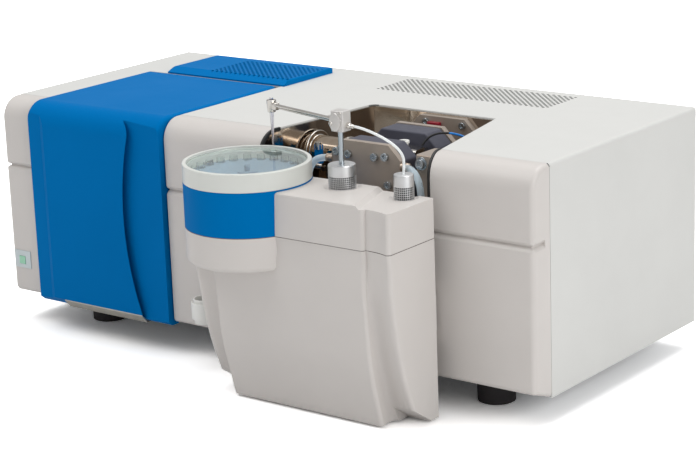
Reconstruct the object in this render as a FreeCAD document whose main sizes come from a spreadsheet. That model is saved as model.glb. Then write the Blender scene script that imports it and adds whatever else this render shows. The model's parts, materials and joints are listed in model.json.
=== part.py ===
# Benchtop graphite-furnace atomic absorption spectrometer.
# Millimetres. +X to the right, +Y to the back, +Z up.
# The origin is on the table, under the middle of the whole object.
import FreeCAD, Part
import math
import os
import Sketcher
from FreeCAD import Placement, Rotation, Vector

doc = FreeCAD.newDocument("spectrometer")
sheet = doc.addObject("Spreadsheet::Sheet", "Sheet")

# Driving sizes. A place given as "back" is a distance in front of the rear panel.
# A place given as "high" is a height above the table.
SIZES = {
    # Cabinet
    "half_wide": 425, "foot_tall": 33, "cabinet_tall": 281, "sheet": 2, "sheet_deep": 344,
    "face_deep": 380, "bend": 4, "seam": 0.3, "fitting_reach": 18,
    "skin": 3.5, "top_round": 28, "base_round": 7, "face_base": 11, "corner_round": 6,
    "groove_low": 186, "groove_tall": 6, "groove_deep": 5.5, "groove_lip": 2.4,
    "door_left": 368, "door_right": 133, "door_gap": 2, "door_proud": 13, "door_crown": 2,
    "door_back": 147, "door_base": 17, "door_skin": 4,
    "door_pin_back": 151, "door_pin_high": 310, "door_pin_radius": 1.8,
    "scoop_radius": 404, "scoop_edge": 214, "scoop_high": 183, "scoop_deep": 9,
    "cover_left": 337, "cover_right": 126, "cover_front": 140, "cover_rear": 32,
    "cover_tall": 8, "cover_slope": 15,
    "foot_radius": 24, "foot_x": 321, "foot_front": 304, "foot_rear": 60,
    "vent_left": -6, "vent_right": 266, "vent_front": 92, "vent_rear": 13,
    "blue_vent_left": -267, "blue_vent_right": -128, "blue_vent_front": 128,
    "blue_vent_rear": 46, "vent_pitch": 8.4, "vent_hole": 2.0,
    # Furnace bay
    "bay_left_rear": 50.6, "bay_left_front": 26.8, "bay_right_rear": 240,
    "bay_right_front": 283.6, "bay_rear": 174, "bay_floor": 178, "liner": 1.5,
    "edging": 3, "edging_proud": 1.2, "bay_corner": 10,
    # Beam and furnace
    "beam_back": 286, "beam_high": 275, "magnet_x": 165, "plate_thick": 8,
    "plate_half": 52, "plate_chamfer": 18, "plate_high": 310, "plate_low": 246,
    "front_plate_back": 337, "front_coil_back": 309, "rear_coil_back": 234,
    "rear_coil_deep": 34, "rear_plate_back": 176, "magnet_base": 192, "side_front": 344,
    "port_x": 180, "port_back": 286.9, "port_high": 302.6, "port_radius": 5.5,
    "port_bore": 3, "tube_radius": 4, "tube_bore": 3, "tube_half": 14,
    "clamp_half": 26, "clamp_deep": 28, "clamp_split": 3, "window_radius": 20,
    # Sampler
    "arm_x": 188, "arm_back": 422, "arm_high": 353, "needle_x": 57, "needle_back": 388,
    "needle_tip": 304, "shaft_radius": 3.2, "boss_radius": 16.5,
    "boss_tall": 27, "wash_x": 272, "wash_back": 415, "wash_radius": 12, "wash_tall": 28,
    "dish_deep": 3, "dish_slope": 6, "tube_outer": 1.6,
    "bowl_x": 68, "bowl_back": 452, "bowl_radius": 77.8, "bowl_low": 180,
    "band_low": 223, "band_high": 278, "ring_high": 300.3, "bowl_wall": 4,
    "cover_high": 276, "cover_low_high": 271, "sampler_right": 303, "sampler_left": 5,
    "sampler_rear": 401, "panel_left": 35, "panel_right": 266, "sampler_seam": 223,
    "sampler_base": 3.5, "sampler_skin": 3, "cover_round": 4, "cover_left_x": 137, "tray_radius": 70,
    "vial_radius": 5, "tray_high": 283, "hinge_x": 288, "hinge_back": 390.5,
    "hinge_radius": 3, "fit_gap": 0.05, "run_gap": 0.3,
}


class Size:
    """A length taken from the sheet, with the expression that binds it."""

    def __init__(self, value, text):
        self.value = float(value)
        self.text = text

    def __float__(self):
        return self.value

    def __add__(self, other):
        return join(self, "+", other)

    def __radd__(self, other):
        return join(other, "+", self)

    def __sub__(self, other):
        return join(self, "-", other)

    def __rsub__(self, other):
        return join(other, "-", self)

    def __mul__(self, other):
        return join(self, "*", other)

    def __rmul__(self, other):
        return join(other, "*", self)

    def __truediv__(self, other):
        return join(self, "/", other)

    def __neg__(self):
        return join(0, "-", self)


def join(left, sign, right):
    a, b = float(left), float(right)
    value = {"+": a + b, "-": a - b, "*": a * b}.get(sign, a / b if b else 0.0)
    return Size(value, "(%s %s %s)" % (words(left), sign, words(right)))


def words(size):
    return size.text if isinstance(size, Size) else repr(float(size))


class Names:
    """Every size of the sheet as an attribute."""


S = Names()
for row, (alias, number) in enumerate(SIZES.items(), start=1):
    cell = "B%d" % row
    sheet.set("A%d" % row, alias)
    sheet.set(cell, str(number))
    sheet.setAlias(cell, alias)
doc.recompute()
for alias in SIZES:
    setattr(S, alias, Size(sheet.get(alias), "Sheet." + alias))

# Worked-out places that several pieces share
rear_y = (S.bowl_back + S.bowl_radius - S.fitting_reach) / 2
base_z = S.foot_tall
top_z = S.foot_tall + S.cabinet_tall
inner_x = S.half_wide - S.sheet - S.seam
groove_z = S.foot_tall + S.groove_low
door_top = top_z + S.door_crown
beam_z = S.beam_high
parts = []


def back(distance):
    """The Y of a place that lies this far in front of the rear panel."""
    return rear_y - distance


def bind(thing, name, size):
    if isinstance(size, Size):
        thing.setExpression(name, size.text)
    else:
        thing.setExpression(name, repr(float(size)))


def place(thing, x, y, z, turn=None):
    thing.Placement = Placement(Vector(float(x), float(y), float(z)), turn or Rotation())
    bind(thing, "Placement.Base.x", x)
    bind(thing, "Placement.Base.y", y)
    bind(thing, "Placement.Base.z", z)
    return thing


def box(x0, x1, y0, y1, z0, z1):
    thing = doc.addObject("Part::Box", "Block")
    bind(thing, "Length", x1 - x0)
    bind(thing, "Width", y1 - y0)
    bind(thing, "Height", z1 - z0)
    return place(thing, x0, y0, z0)


ALONG = {
    "x": Rotation(Vector(0, 1, 0), 90),
    "y": Rotation(Vector(1, 0, 0), -90),
    "z": Rotation(),
}


def rod(axis, radius, length, x, y, z):
    """A cylinder that starts at a point and runs along an axis."""
    thing = doc.addObject("Part::Cylinder", "Rod")
    bind(thing, "Radius", radius)
    bind(thing, "Height", length)
    return place(thing, x, y, z, ALONG[axis])


def cone(axis, low, high, length, x, y, z):
    thing = doc.addObject("Part::Cone", "Taper")
    bind(thing, "Radius1", low)
    bind(thing, "Radius2", high)
    bind(thing, "Height", length)
    return place(thing, x, y, z, ALONG[axis])


def fuse(*things):
    if len(things) == 1:
        return things[0]
    thing = doc.addObject("Part::MultiFuse", "Joined")
    thing.Shapes = list(things)
    return thing


def cut(base, *tools):
    thing = doc.addObject("Part::Cut", "Trimmed")
    thing.Base = base
    thing.Tool = fuse(*tools)
    return thing


def common(first, second):
    thing = doc.addObject("Part::Common", "Overlap")
    thing.Base = first
    thing.Tool = second
    return thing


def group(*things):
    thing = doc.addObject("Part::Compound", "Group")
    thing.Links = list(things)
    return thing


def fixed(shape, name="Formed"):
    """An object whose shape is made here from the sheet's sizes."""
    thing = doc.addObject("Part::Feature", name)
    thing.Shape = shape
    return thing


def rounded(thing, radius, choose):
    """Round the edges that choose() accepts."""
    doc.recompute()
    picked = [
        (number, float(radius), float(radius))
        for number, edge in enumerate(thing.Shape.Edges, start=1)
        if choose(edge)
    ]
    if not picked:
        return thing
    made = doc.addObject("Part::Fillet", "Rounded")
    made.Base = thing
    made.Edges = picked
    return made


def runs_along(edge, axis):
    if not isinstance(edge.Curve, Part.Line):
        return False
    return abs(getattr(edge.Curve.Direction, axis)) > 0.999


def near(value, target, slack=0.05):
    return abs(value - float(target)) < slack


def keep(label, thing):
    """Name a finished sub-part."""
    thing.Label = label
    parts.append(thing)
    return thing


def origin_plane(body, role):
    for feature in body.Origin.OriginFeatures:
        if feature.Role == role:
            return feature
    raise ValueError(role)


def sketched(body, role, points):
    """A closed outline on an origin plane, each corner bound to the sheet."""
    sketch = body.newObject("Sketcher::SketchObject", "Outline")
    sketch.AttachmentSupport = [(origin_plane(body, role), "")]
    sketch.MapMode = "FlatFace"
    spots = [Vector(float(u), float(v), 0) for u, v in points]
    count = len(spots)
    for number in range(count):
        sketch.addGeometry(Part.LineSegment(spots[number], spots[(number + 1) % count]), False)
    for number in range(count):
        sketch.addConstraint(
            Sketcher.Constraint("Coincident", number, 2, (number + 1) % count, 1))
    for number, (u, v) in enumerate(points):
        for kind, size, axis in (("DistanceX", u, -2), ("DistanceY", v, -1)):
            if float(size) == 0:
                sketch.addConstraint(Sketcher.Constraint("PointOnObject", number, 1, axis))
                continue
            made = sketch.addConstraint(
                Sketcher.Constraint(kind, -1, 1, number, 1, float(size)))
            sketch.setExpression("Constraints[%d]" % made, words(size))
    return sketch


def padded(role, points, length):
    """A body padded from an outline."""
    body = doc.addObject("PartDesign::Body", "Body")
    sketch = sketched(body, role, points)
    pad = body.newObject("PartDesign::Pad", "Pad")
    pad.Profile = sketch
    bind(pad, "Length", length)
    return body


def flat_shape(points):
    spots = [Vector(*p) for p in points]
    return Part.Face(Part.makePolygon(spots + spots[:1]))


def prism(points, z0, z1):
    """A straight prism over a plan of numbers."""
    low, high = float(z0), float(z1)
    face = flat_shape([(float(x), float(y), low) for x, y in points])
    return face.extrude(Vector(0, 0, high - low))


# Cabinet shape
def face_outline(inset):
    """The side view of the cabinet front, as a face in the YZ plane at X = 0."""
    wall = float(inset)
    front = float(back(S.face_deep)) + wall
    rear = float(back(S.sheet_deep + S.seam))
    top = float(top_z) - wall
    low = float(base_z + S.face_base) + wall
    big = max(float(S.top_round) - wall, 1.0)
    small = max(float(S.base_round) - wall, 1.0)
    half = math.sqrt(0.5)
    top_mid = Vector(0, front + big * (1 - half), top - big * (1 - half))
    low_mid = Vector(0, front + small * (1 - half), low + small * (1 - half))
    rear_low = float(base_z) + 0.3 + wall
    spots = [
        Vector(0, rear, rear_low), Vector(0, rear, top), Vector(0, front + big, top),
        Vector(0, front, top - big), Vector(0, front, low + small),
        Vector(0, front + small, low),
    ]
    edges = [
        Part.LineSegment(spots[0], spots[1]).toShape(),
        Part.LineSegment(spots[1], spots[2]).toShape(),
        Part.Arc(spots[2], top_mid, spots[3]).toShape(),
        Part.LineSegment(spots[3], spots[4]).toShape(),
        Part.Arc(spots[4], low_mid, spots[5]).toShape(),
        Part.LineSegment(spots[5], spots[0]).toShape(),
    ]
    return Part.Face(Part.Wire(edges))


def front_solid(x0, x1, inset):
    face = face_outline(inset)
    face.translate(Vector(float(x0), 0, 0))
    return face.extrude(Vector(float(x1) - float(x0), 0, 0))


def bay_plan(grow):
    """The bay's plan, widened all round by a margin, as X and Y numbers."""
    more = float(grow)
    rear = float(back(S.bay_rear)) + more
    front = float(back(S.face_deep)) - 40
    face = float(back(S.face_deep))
    left_rear = float(S.bay_left_rear)
    right_rear = float(S.bay_right_rear)
    length = float(S.face_deep - S.bay_rear)
    left_lean = (left_rear - float(S.bay_left_front)) / length
    right_lean = (float(S.bay_right_front) - right_rear) / length
    past = length + face - front
    return [
        (left_rear - more, rear), (right_rear + more, rear),
        (right_rear + more + right_lean * past, front),
        (left_rear - more - left_lean * past, front),
    ]


def groove_cut(x0, x1):
    """The tool that leaves a round-lipped groove along the front and the outer end."""
    z0 = float(groove_z)
    z1 = z0 + float(S.groove_tall)
    front = float(back(S.face_deep))
    deep = float(S.groove_deep)
    lip = float(S.groove_lip)
    profile = [
        Vector(0, front - 1, z0 - lip), Vector(0, front, z0 - lip),
        Vector(0, front + lip, z0 + lip / 3), Vector(0, front + deep, z0 + lip),
        Vector(0, front + deep, z1 - lip), Vector(0, front + lip, z1 - lip / 3),
        Vector(0, front, z1 + lip), Vector(0, front - 1, z1 + lip),
    ]
    face = Part.Face(Part.makePolygon(profile + profile[:1]))
    face.translate(Vector(float(x0), 0, 0))
    return face.extrude(Vector(float(x1) - float(x0), 0, 0))


def side_groove(x_outer, sign):
    """The same groove carried round onto the end of the moulding."""
    z0 = float(groove_z)
    z1 = z0 + float(S.groove_tall)
    front = float(back(S.face_deep))
    deep = float(S.groove_deep)
    lip = float(S.groove_lip)
    x = float(x_outer)
    profile = [
        Vector(x + sign, front, z0 - lip), Vector(x, front, z0 - lip),
        Vector(x - sign * lip, front, z0 + lip / 3), Vector(x - sign * deep, front, z0 + lip),
        Vector(x - sign * deep, front, z1 - lip), Vector(x - sign * lip, front, z1 - lip / 3),
        Vector(x, front, z1 + lip), Vector(x + sign, front, z1 + lip),
    ]
    face = Part.Face(Part.makePolygon(profile + profile[:1]))
    run = float(S.face_deep - S.sheet_deep) - 11
    return face.extrude(Vector(0, run, 0))


def moulding(x0, x1, round_left, round_right):
    """A hollow front moulding with rounded outer corners and the groove."""
    left, right = float(x0), float(x1)
    wall = float(S.skin)
    solid = front_solid(left, right, 0)
    front = float(back(S.face_deep))
    edges = []
    for edge in solid.Edges:
        at = edge.BoundBox
        on_left = near(at.XMin, left) and near(at.XMax, left)
        on_right = near(at.XMin, right) and near(at.XMax, right)
        behind = at.YMin > float(back(S.sheet_deep + S.seam)) - 0.1
        if behind:
            continue
        if (on_left and round_left) or (on_right and round_right):
            edges.append(edge)
    if edges:
        solid = solid.makeFillet(float(S.corner_round), edges)
    inner = front_solid(left + wall, right - wall, wall)
    rear = float(back(S.sheet_deep + S.seam))
    mouth = Part.makeBox(
        right - left - 2 * wall, 6, float(top_z - base_z) - 2 * wall - 1.5,
        Vector(left + wall, rear - 3, float(base_z) + wall + 1.5))
    solid = solid.cut(groove_cut(left - 1, right + 1))
    if round_right:
        solid = solid.cut(side_groove(right, 1))
    if round_left:
        solid = solid.cut(side_groove(left, -1))
    hollow = inner.fuse(mouth)
    back_of_groove = Part.makeBox(
        right - left, float(S.groove_deep) + wall, float(S.groove_tall) + 2 * wall,
        Vector(left, front, float(groove_z) - wall))
    hollow = hollow.cut(back_of_groove)
    ends = []
    if round_right:
        ends.append(right - float(S.groove_deep) - wall)
    if round_left:
        ends.append(left)
    for start in ends:
        hollow = hollow.cut(Part.makeBox(
            float(S.groove_deep) + wall, float(S.face_deep - S.sheet_deep) + 1,
            float(S.groove_tall) + 2 * wall, Vector(start, front, float(groove_z) - wall)))
    return solid.cut(hollow)


def cabinet():
    # Base tray, a folded sheet that carries everything
    wall = S.sheet
    tray_front = back(S.sheet_deep - 1)
    outer = box(-inner_x, inner_x, tray_front, back(3), base_z, base_z + 28)
    inner = box(-inner_x + wall, inner_x - wall, tray_front + wall, back(3) - wall,
                base_z + wall, base_z + 30)
    holes = [
        rod("z", 2.7, 6, x, back(y), base_z - 1)
        for x in (-S.foot_x, S.foot_x) for y in (S.foot_front, S.foot_rear)
    ]
    keep("base_tray", cut(outer, inner, *holes))

    # Rubber feet, each with its screw boss up through the tray
    feet = []
    for x in (-S.foot_x, S.foot_x):
        for y in (S.foot_front, S.foot_rear):
            feet.append(fuse(
                cone("z", S.foot_radius - 0.6, S.foot_radius, S.foot_tall * 0.85, x, back(y), 0),
                rod("z", S.foot_radius, S.foot_tall * 0.15, x, back(y), S.foot_tall * 0.85),
                rod("z", 2.65, wall - 0.2, x, back(y), base_z)))
    keep("rubber_feet", group(*feet))

    # Rear panel with its openings
    low = base_z
    half = inner_x - 0.8
    panel = box(-half, half, back(2.5), back(0), low, top_z - wall - S.seam)
    openings = [
        box(S.half_wide - 75, S.half_wide - 45, back(4), back(-2), base_z + 42, base_z + 66),
        box(S.half_wide - 105, S.half_wide - 86, back(4), back(-2), base_z + 42, base_z + 66),
        rod("y", 37, 8, S.magnet_x, back(4), base_z + 150),
    ]
    for number in range(4):
        openings.append(rod("y", 5.3, 8, -60 + number * 32, back(4), base_z + 46))
    for number in range(9):
        openings.append(box(-360, -250, back(4), back(-2), base_z + 60 + 14 * number,
                            base_z + 64 + 14 * number))
    keep("rear_panel", cut(panel, *openings))


def top_sheets():
    # Right cover: top and side in one bent sheet
    depth = float(S.sheet_deep)
    wall, outer, bend = float(S.sheet), float(S.half_wide), float(S.bend)
    top, low = float(top_z), float(base_z)
    seam_x = float(-S.door_right + S.door_gap)
    half = math.sqrt(0.5)

    def sheet_wire(sign, end_x):
        inner_bend = bend - wall
        x = sign * outer
        away = bend * (1 - half)
        mid = bend - inner_bend * half
        spots = [
            (end_x, top), (x - sign * bend, top), (x - sign * away, top - away),
            (x, top - bend), (x, low), (x - sign * wall, low), (x - sign * wall, top - bend),
            (x - sign * mid, top - mid), (x - sign * bend, top - wall), (end_x, top - wall),
        ]
        v = [Vector(a, float(back(S.sheet_deep)), b) for a, b in spots]
        return Part.Wire([
            Part.LineSegment(v[0], v[1]).toShape(),
            Part.Arc(v[1], v[2], v[3]).toShape(),
            Part.LineSegment(v[3], v[4]).toShape(),
            Part.LineSegment(v[4], v[5]).toShape(),
            Part.LineSegment(v[5], v[6]).toShape(),
            Part.Arc(v[6], v[7], v[8]).toShape(),
            Part.LineSegment(v[8], v[9]).toShape(),
            Part.LineSegment(v[9], v[0]).toShape(),
        ])

    right = Part.Face(sheet_wire(1, seam_x)).extrude(Vector(0, depth, 0))
    bay = prism(bay_plan(0), top - 20, top + 20)
    corners = [e for e in bay.Edges if runs_along(e, "z") and
               near(e.BoundBox.YMin, back(S.bay_rear))]
    bay = bay.makeFillet(float(S.bay_corner), corners[:1])
    right = right.cut(bay).cut(vent_tool(
        S.vent_left, S.vent_right, S.vent_front, S.vent_rear, top))
    keep("main_cover", fixed(hinge_lug(right, seam_x + 0.2, seam_x + 7)))

    left = Part.Face(sheet_wire(-1, seam_x - 0.4)).extrude(Vector(0, depth, 0))
    compartment = Part.makeBox(
        float(S.door_left + S.door_gap) + seam_x, float(S.sheet_deep - S.door_back) + 8, 20,
        Vector(-float(S.door_left + S.door_gap), float(back(S.sheet_deep)) - 1, top - 10))
    under_vent = Part.makeBox(
        float(S.cover_left - S.door_right) - 30, float(S.cover_front - S.cover_rear) - 24, 20,
        Vector(-float(S.cover_left) + 15, float(back(S.cover_front)) + 12, top - 10))
    left_edge = -float(S.door_left + S.door_gap)
    left = left.cut(compartment).cut(under_vent)
    keep("left_cover", fixed(hinge_lug(left, left_edge - 7, left_edge - 0.2)))


def hinge_lug(cover, x0, x1):
    """A lug under a cover's top that holds one of the door's pins."""
    deep, high = float(S.door_pin_back), float(S.door_pin_high)
    under = float(top_z - S.sheet)
    lug = Part.makeBox(x1 - x0, 14, under - high + 8, Vector(x0, float(back(deep)) - 7, high - 8))
    bore = Part.makeCylinder(float(S.door_pin_radius + S.fit_gap), x1 - x0 + 4,
                             Vector(x0 - 2, float(back(deep)), high), Vector(1, 0, 0))
    return cover.fuse(lug).cut(bore)


def vent_tool(left, right, front, rear, top):
    """A field of round holes on a diagonal grid."""
    pitch = float(S.vent_pitch)
    radius = float(S.vent_hole)
    x0, x1 = float(left) + radius, float(right) - radius
    y0, y1 = float(back(front)) + radius, float(back(rear)) - radius
    rows = int((y1 - y0) / (pitch / 2))
    columns = int((x1 - x0) / pitch)
    holes = []
    for row in range(rows + 1):
        shift = pitch / 2 if row % 2 else 0.0
        for column in range(columns + 1):
            x = x0 + column * pitch + shift
            if x <= x1:
                at = Vector(x, y0 + row * pitch / 2, float(top) - 10)
                holes.append(Part.makeCylinder(radius, 30, at))
    return Part.makeCompound(holes)


def mouldings():
    seam_right = -S.door_right + S.door_gap
    seam_left = -S.door_left - S.door_gap
    main = moulding(seam_right, S.half_wide, False, True)
    notch = prism(bay_plan(0), float(S.bay_floor) - float(S.liner) - 0.3, float(top_z) + 40)
    keep("front_moulding", fixed(main.cut(notch)))
    keep("left_moulding", fixed(moulding(-S.half_wide, seam_left, True, False)))


def lamp_door():
    """Blue door: wraps over the top and front, with a scooped grip on its right."""
    x0, x1 = -float(S.door_left), -float(S.door_right)
    wall = float(S.door_skin)

    front = float(back(S.face_deep + S.door_proud))
    top, low = float(door_top), float(base_z + S.door_base)
    big = float(S.top_round) + 2
    rear = float(back(S.door_back))
    away = big * (1 - math.sqrt(0.5))
    mid = Vector(0, front + away, top - away)
    outer = Part.Wire([
        Part.LineSegment(Vector(0, rear, top), Vector(0, front + big, top)).toShape(),
        Part.Arc(Vector(0, front + big, top), mid, Vector(0, front, top - big)).toShape(),
        Part.LineSegment(Vector(0, front, top - big), Vector(0, front, low)).toShape(),
        Part.LineSegment(Vector(0, front, low), Vector(0, front + 12, low - 10)).toShape(),
        Part.LineSegment(Vector(0, front + 12, low - 10), Vector(0, rear, low - 10)).toShape(),
        Part.LineSegment(Vector(0, rear, low - 10), Vector(0, rear, top)).toShape(),
    ])
    solid = Part.Face(outer).extrude(Vector(x1 - x0, 0, 0))
    solid.translate(Vector(x0, 0, 0))
    rim = []
    for edge in solid.Edges:
        at = edge.BoundBox
        flat = near(at.XMin, at.XMax)
        forward = at.YMax < rear - 1 or near(at.ZMin, top)
        if flat and forward and at.ZMax > low + 1:
            rim.append(edge)
    solid = solid.makeFillet(6.0, rim)
    return solid, (x0, x1, front, rear, top, low, big, wall)


def door_parts():
    solid, (x0, x1, front, rear, top, low, big, wall) = lamp_door()
    radius = float(S.scoop_radius)
    centre = Vector(-float(S.scoop_edge) + radius, 0, float(S.scoop_high))
    deep = float(S.scoop_deep)
    # The scoop is a shallow cone-sided cut, deepest along its curved left edge
    scoop = Part.makeCone(radius - 28, radius + 2, deep + 6,
                          Vector(centre.x, front - 6, centre.z), Vector(0, 1, 0))
    wedge = Part.Face(Part.makePolygon([
        Vector(x0, front - 20, low - 40), Vector(x1 + 20, front - 20, low - 40),
        Vector(x1 + 20, front + 4.0, low - 40),
        Vector(-float(S.scoop_edge) + 24, front + deep, low - 40),
        Vector(x0, front + deep, low - 40), Vector(x0, front - 20, low - 40),
    ])).extrude(Vector(0, 0, top - low + 50))
    grip = scoop.common(wedge)
    left_step = Part.Face(Part.makePolygon([
        Vector(x0 - 5, front - 5, 0), Vector(x0 + 30, front - 5, 0), Vector(x0 + 32, front, 0),
        Vector(x0 + 24, front + 3.6, 0), Vector(x0 - 5, front + 5.5, 0),
        Vector(x0 - 5, front - 5, 0),
    ])).extrude(Vector(0, 0, top + 10))
    solid = solid.cut(grip).cut(left_step)
    inner_front = front + wall + deep
    inner = Part.makeBox(
        x1 - x0 - 2 * wall, rear - wall - inner_front, top - wall - low + 40,
        Vector(x0 + wall, inner_front, low - 40))
    below = [e for e in inner.Edges if near(e.BoundBox.YMin, inner_front) and
             near(e.BoundBox.YMax, inner_front) and near(e.BoundBox.ZMin, top - wall)]
    inner = inner.makeFillet(big - wall - 6, below)
    solid = solid.cut(inner)
    # Below the top skin the door has no side or rear walls behind the mouldings' faces
    face = float(back(S.face_deep))
    skirt = Part.makeBox(x1 - x0 + 2, rear - face + 30, top - low,
                         Vector(x0 - 1, face + 11, low - 40))
    skirt = skirt.cut(Part.makeBox(x1 - x0, rear - front, 60,
                                   Vector(x0, front, top - 40)))
    solid = solid.cut(skirt)
    rear_edge = [e for e in solid.Edges if runs_along(e, "x") and near(e.BoundBox.YMin, rear)
                 and near(e.BoundBox.ZMin, top)]
    solid = solid.makeFillet(3.6, rear_edge)
    for start in (x0 - 6.0, x1 - wall + 0.5):
        solid = solid.fuse(Part.makeCylinder(
            float(S.door_pin_radius), wall + 5.5,
            Vector(start, float(back(S.door_pin_back)), float(S.door_pin_high)),
            Vector(1, 0, 0)))
    keep("lamp_door", fixed(solid))

    # Silver lip under the door, a shallow wedge to lift it by
    lip_left, lip_right = -318.0, -176.0
    lip = Part.Face(Part.makePolygon([
        Vector(lip_left, front + 0.8, low - 0.72), Vector(lip_left, front + 12, low - 10.05),
        Vector(lip_left, front + 22, low - 10.05), Vector(lip_left, front + 22, low - 12.5),
        Vector(lip_left, front + 10, low - 13), Vector(lip_left, front + 0.8, low - 2.2),
        Vector(lip_left, front + 0.8, low - 0.72),
    ]))
    keep("door_lip", fixed(lip.extrude(Vector(lip_right - lip_left, 0, 0))))


def rear_cover():
    x0, x1 = -S.cover_left, -S.cover_right
    y0, y1 = back(S.cover_front), back(S.cover_rear)
    z0 = top_z + 0.1
    high = float(z0 + S.cover_tall)
    shell = box(x0, x1, y0, y1, z0, z0 + S.cover_tall)
    slope = flat_shape([
        (float(x0) - 1, float(y0), float(z0) + 2), (float(x0) - 1, float(y0) - 2, high + 5),
        (float(x0) - 1, float(y0 + S.cover_slope) + 8, high + 3),
        (float(x0) - 1, float(y0 + S.cover_slope), high)])
    shell = cut(shell, fixed(slope.extrude(Vector(float(x1 - x0) + 2, 0, 0))))
    shell = rounded(shell, 2.4, lambda e: near(e.BoundBox.ZMin, high))
    hollow = box(x0 + 3, x1 - 3, y0 + S.cover_slope, y1 - 3, z0 - 1, z0 + S.cover_tall - 2.4)
    holes = fixed(vent_tool(S.blue_vent_left, S.blue_vent_right, S.blue_vent_front,
                            S.blue_vent_rear, top_z))
    keep("rear_cover", cut(shell, hollow, holes))


def bay():
    gap = float(S.seam)
    wall = float(S.liner)
    floor = float(S.bay_floor)
    ceiling = float(top_z - S.sheet) - gap
    outer = prism(bay_plan(-gap), floor - wall, ceiling)
    inner = prism(bay_plan(-gap - wall), floor, ceiling + 5)
    liner = outer.cut(inner)
    within = front_solid(-20, 330, float(S.skin) + gap)
    behind = Part.makeBox(350, float(S.sheet_deep) + 1, 200,
                          Vector(-20, float(back(S.sheet_deep)) - 0.5, floor - 10))
    liner = liner.common(within.fuse(behind))
    beam = Part.makeCylinder(float(S.window_radius) + gap, 400,
                             Vector(-50, float(back(S.beam_back)), float(beam_z)), Vector(1, 0, 0))
    keep("bay_liner", fixed(liner.cut(beam)))

    # Black edging round the cut edge of the front moulding
    proud = float(S.edging_proud)
    ring = front_solid(-40, 340, -proud).cut(front_solid(-40, 340, float(S.skin)))
    outer = prism(bay_plan(-gap), floor + 0.5, float(top_z) + 10)
    inner = prism(bay_plan(-gap - float(S.edging)), floor, float(top_z) + 11)
    slab = outer.cut(inner)
    front_half = Part.makeBox(400, float(S.face_deep - S.sheet_deep) + 5 - 0.5, 300,
                              Vector(-30, float(back(S.face_deep)) - 5, floor))
    edging = ring.common(slab).common(front_half)
    solids = [piece for piece in edging.Solids if piece.Volume > 50]
    keep("bay_edging", fixed(Part.makeCompound(solids)))


def small_front_pieces():
    face = back(S.face_deep)
    plate = box(-419.5, -390, face - 1.2, face - 0.05, 78.5, 103)
    hole = box(-411.2, -399.8, face - 3, face + 2, 84, 95.4)
    keep("indicator_plate", cut(plate, hole))
    keep("indicator_lens", box(-411, -400, face - 2, face - 0.1, 84.2, 95.2))
    x, y = -61, face - 17.5
    cup = cut(rod("z", 14, 32, x, y, 61), rod("z", 12, 40, x, y, 63))
    ring = cut(fuse(rod("z", 17, 22, x, y, 67), box(x - 9, x + 9, y + 8, face - 0.05, 67, 89)),
               rod("z", 14.3, 30, x, y, 65))
    keep("rinse_cup", group(cup, ring))


def screw(axis, x, y, z, radius, head, length):
    """A cap screw: head, hexagon socket and shank, the head facing back along the axis."""
    turn = {"x": Vector(1, 0, 0), "y": Vector(0, 1, 0), "z": Vector(0, 0, 1)}[axis]
    at = Vector(float(x), float(y), float(z))
    top = Part.makeCylinder(radius * 1.75, head, at - turn * head, turn)
    socket = Part.makeCylinder(radius * 0.85, head * 0.6, at - turn * head, turn)
    shank = Part.makeCylinder(radius, length, at, turn)
    return top.cut(socket).fuse(shank)


def tube(points, radius, share=0.48):
    """A bent tube. Each arc takes up this share of the shorter run beside it."""
    spots = [Vector(*p) for p in points]
    edges = []
    start = spots[0]
    for number in range(1, len(spots) - 1):
        corner = spots[number]
        before = spots[number - 1] - corner
        after = spots[number + 1] - corner
        turn = math.pi - before.getAngle(after)
        shorter = min(before.Length, after.Length)
        reach = share * shorter
        bend_radius = reach / math.tan(turn / 2)
        first = corner + before.normalize() * reach
        last = corner + after.normalize() * reach
        middle = (first + last) * 0.5
        toward = (middle - corner).normalize()
        depth = bend_radius / math.cos(turn / 2) - bend_radius
        edges.append(Part.LineSegment(start, first).toShape())
        edges.append(Part.Arc(first, corner + toward * depth, last).toShape())
        start = last
    edges.append(Part.LineSegment(start, spots[-1]).toShape())
    path = Part.Wire(edges)
    ring = Part.Wire([Part.Circle(spots[0], spots[1] - spots[0], radius).toShape()])
    return path.makePipeShell([ring], True, False, 2)


def at_back(points):
    """Turn X, distance back and height into a place."""
    return [(x, float(back(deep)), high) for x, deep, high in points]


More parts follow.
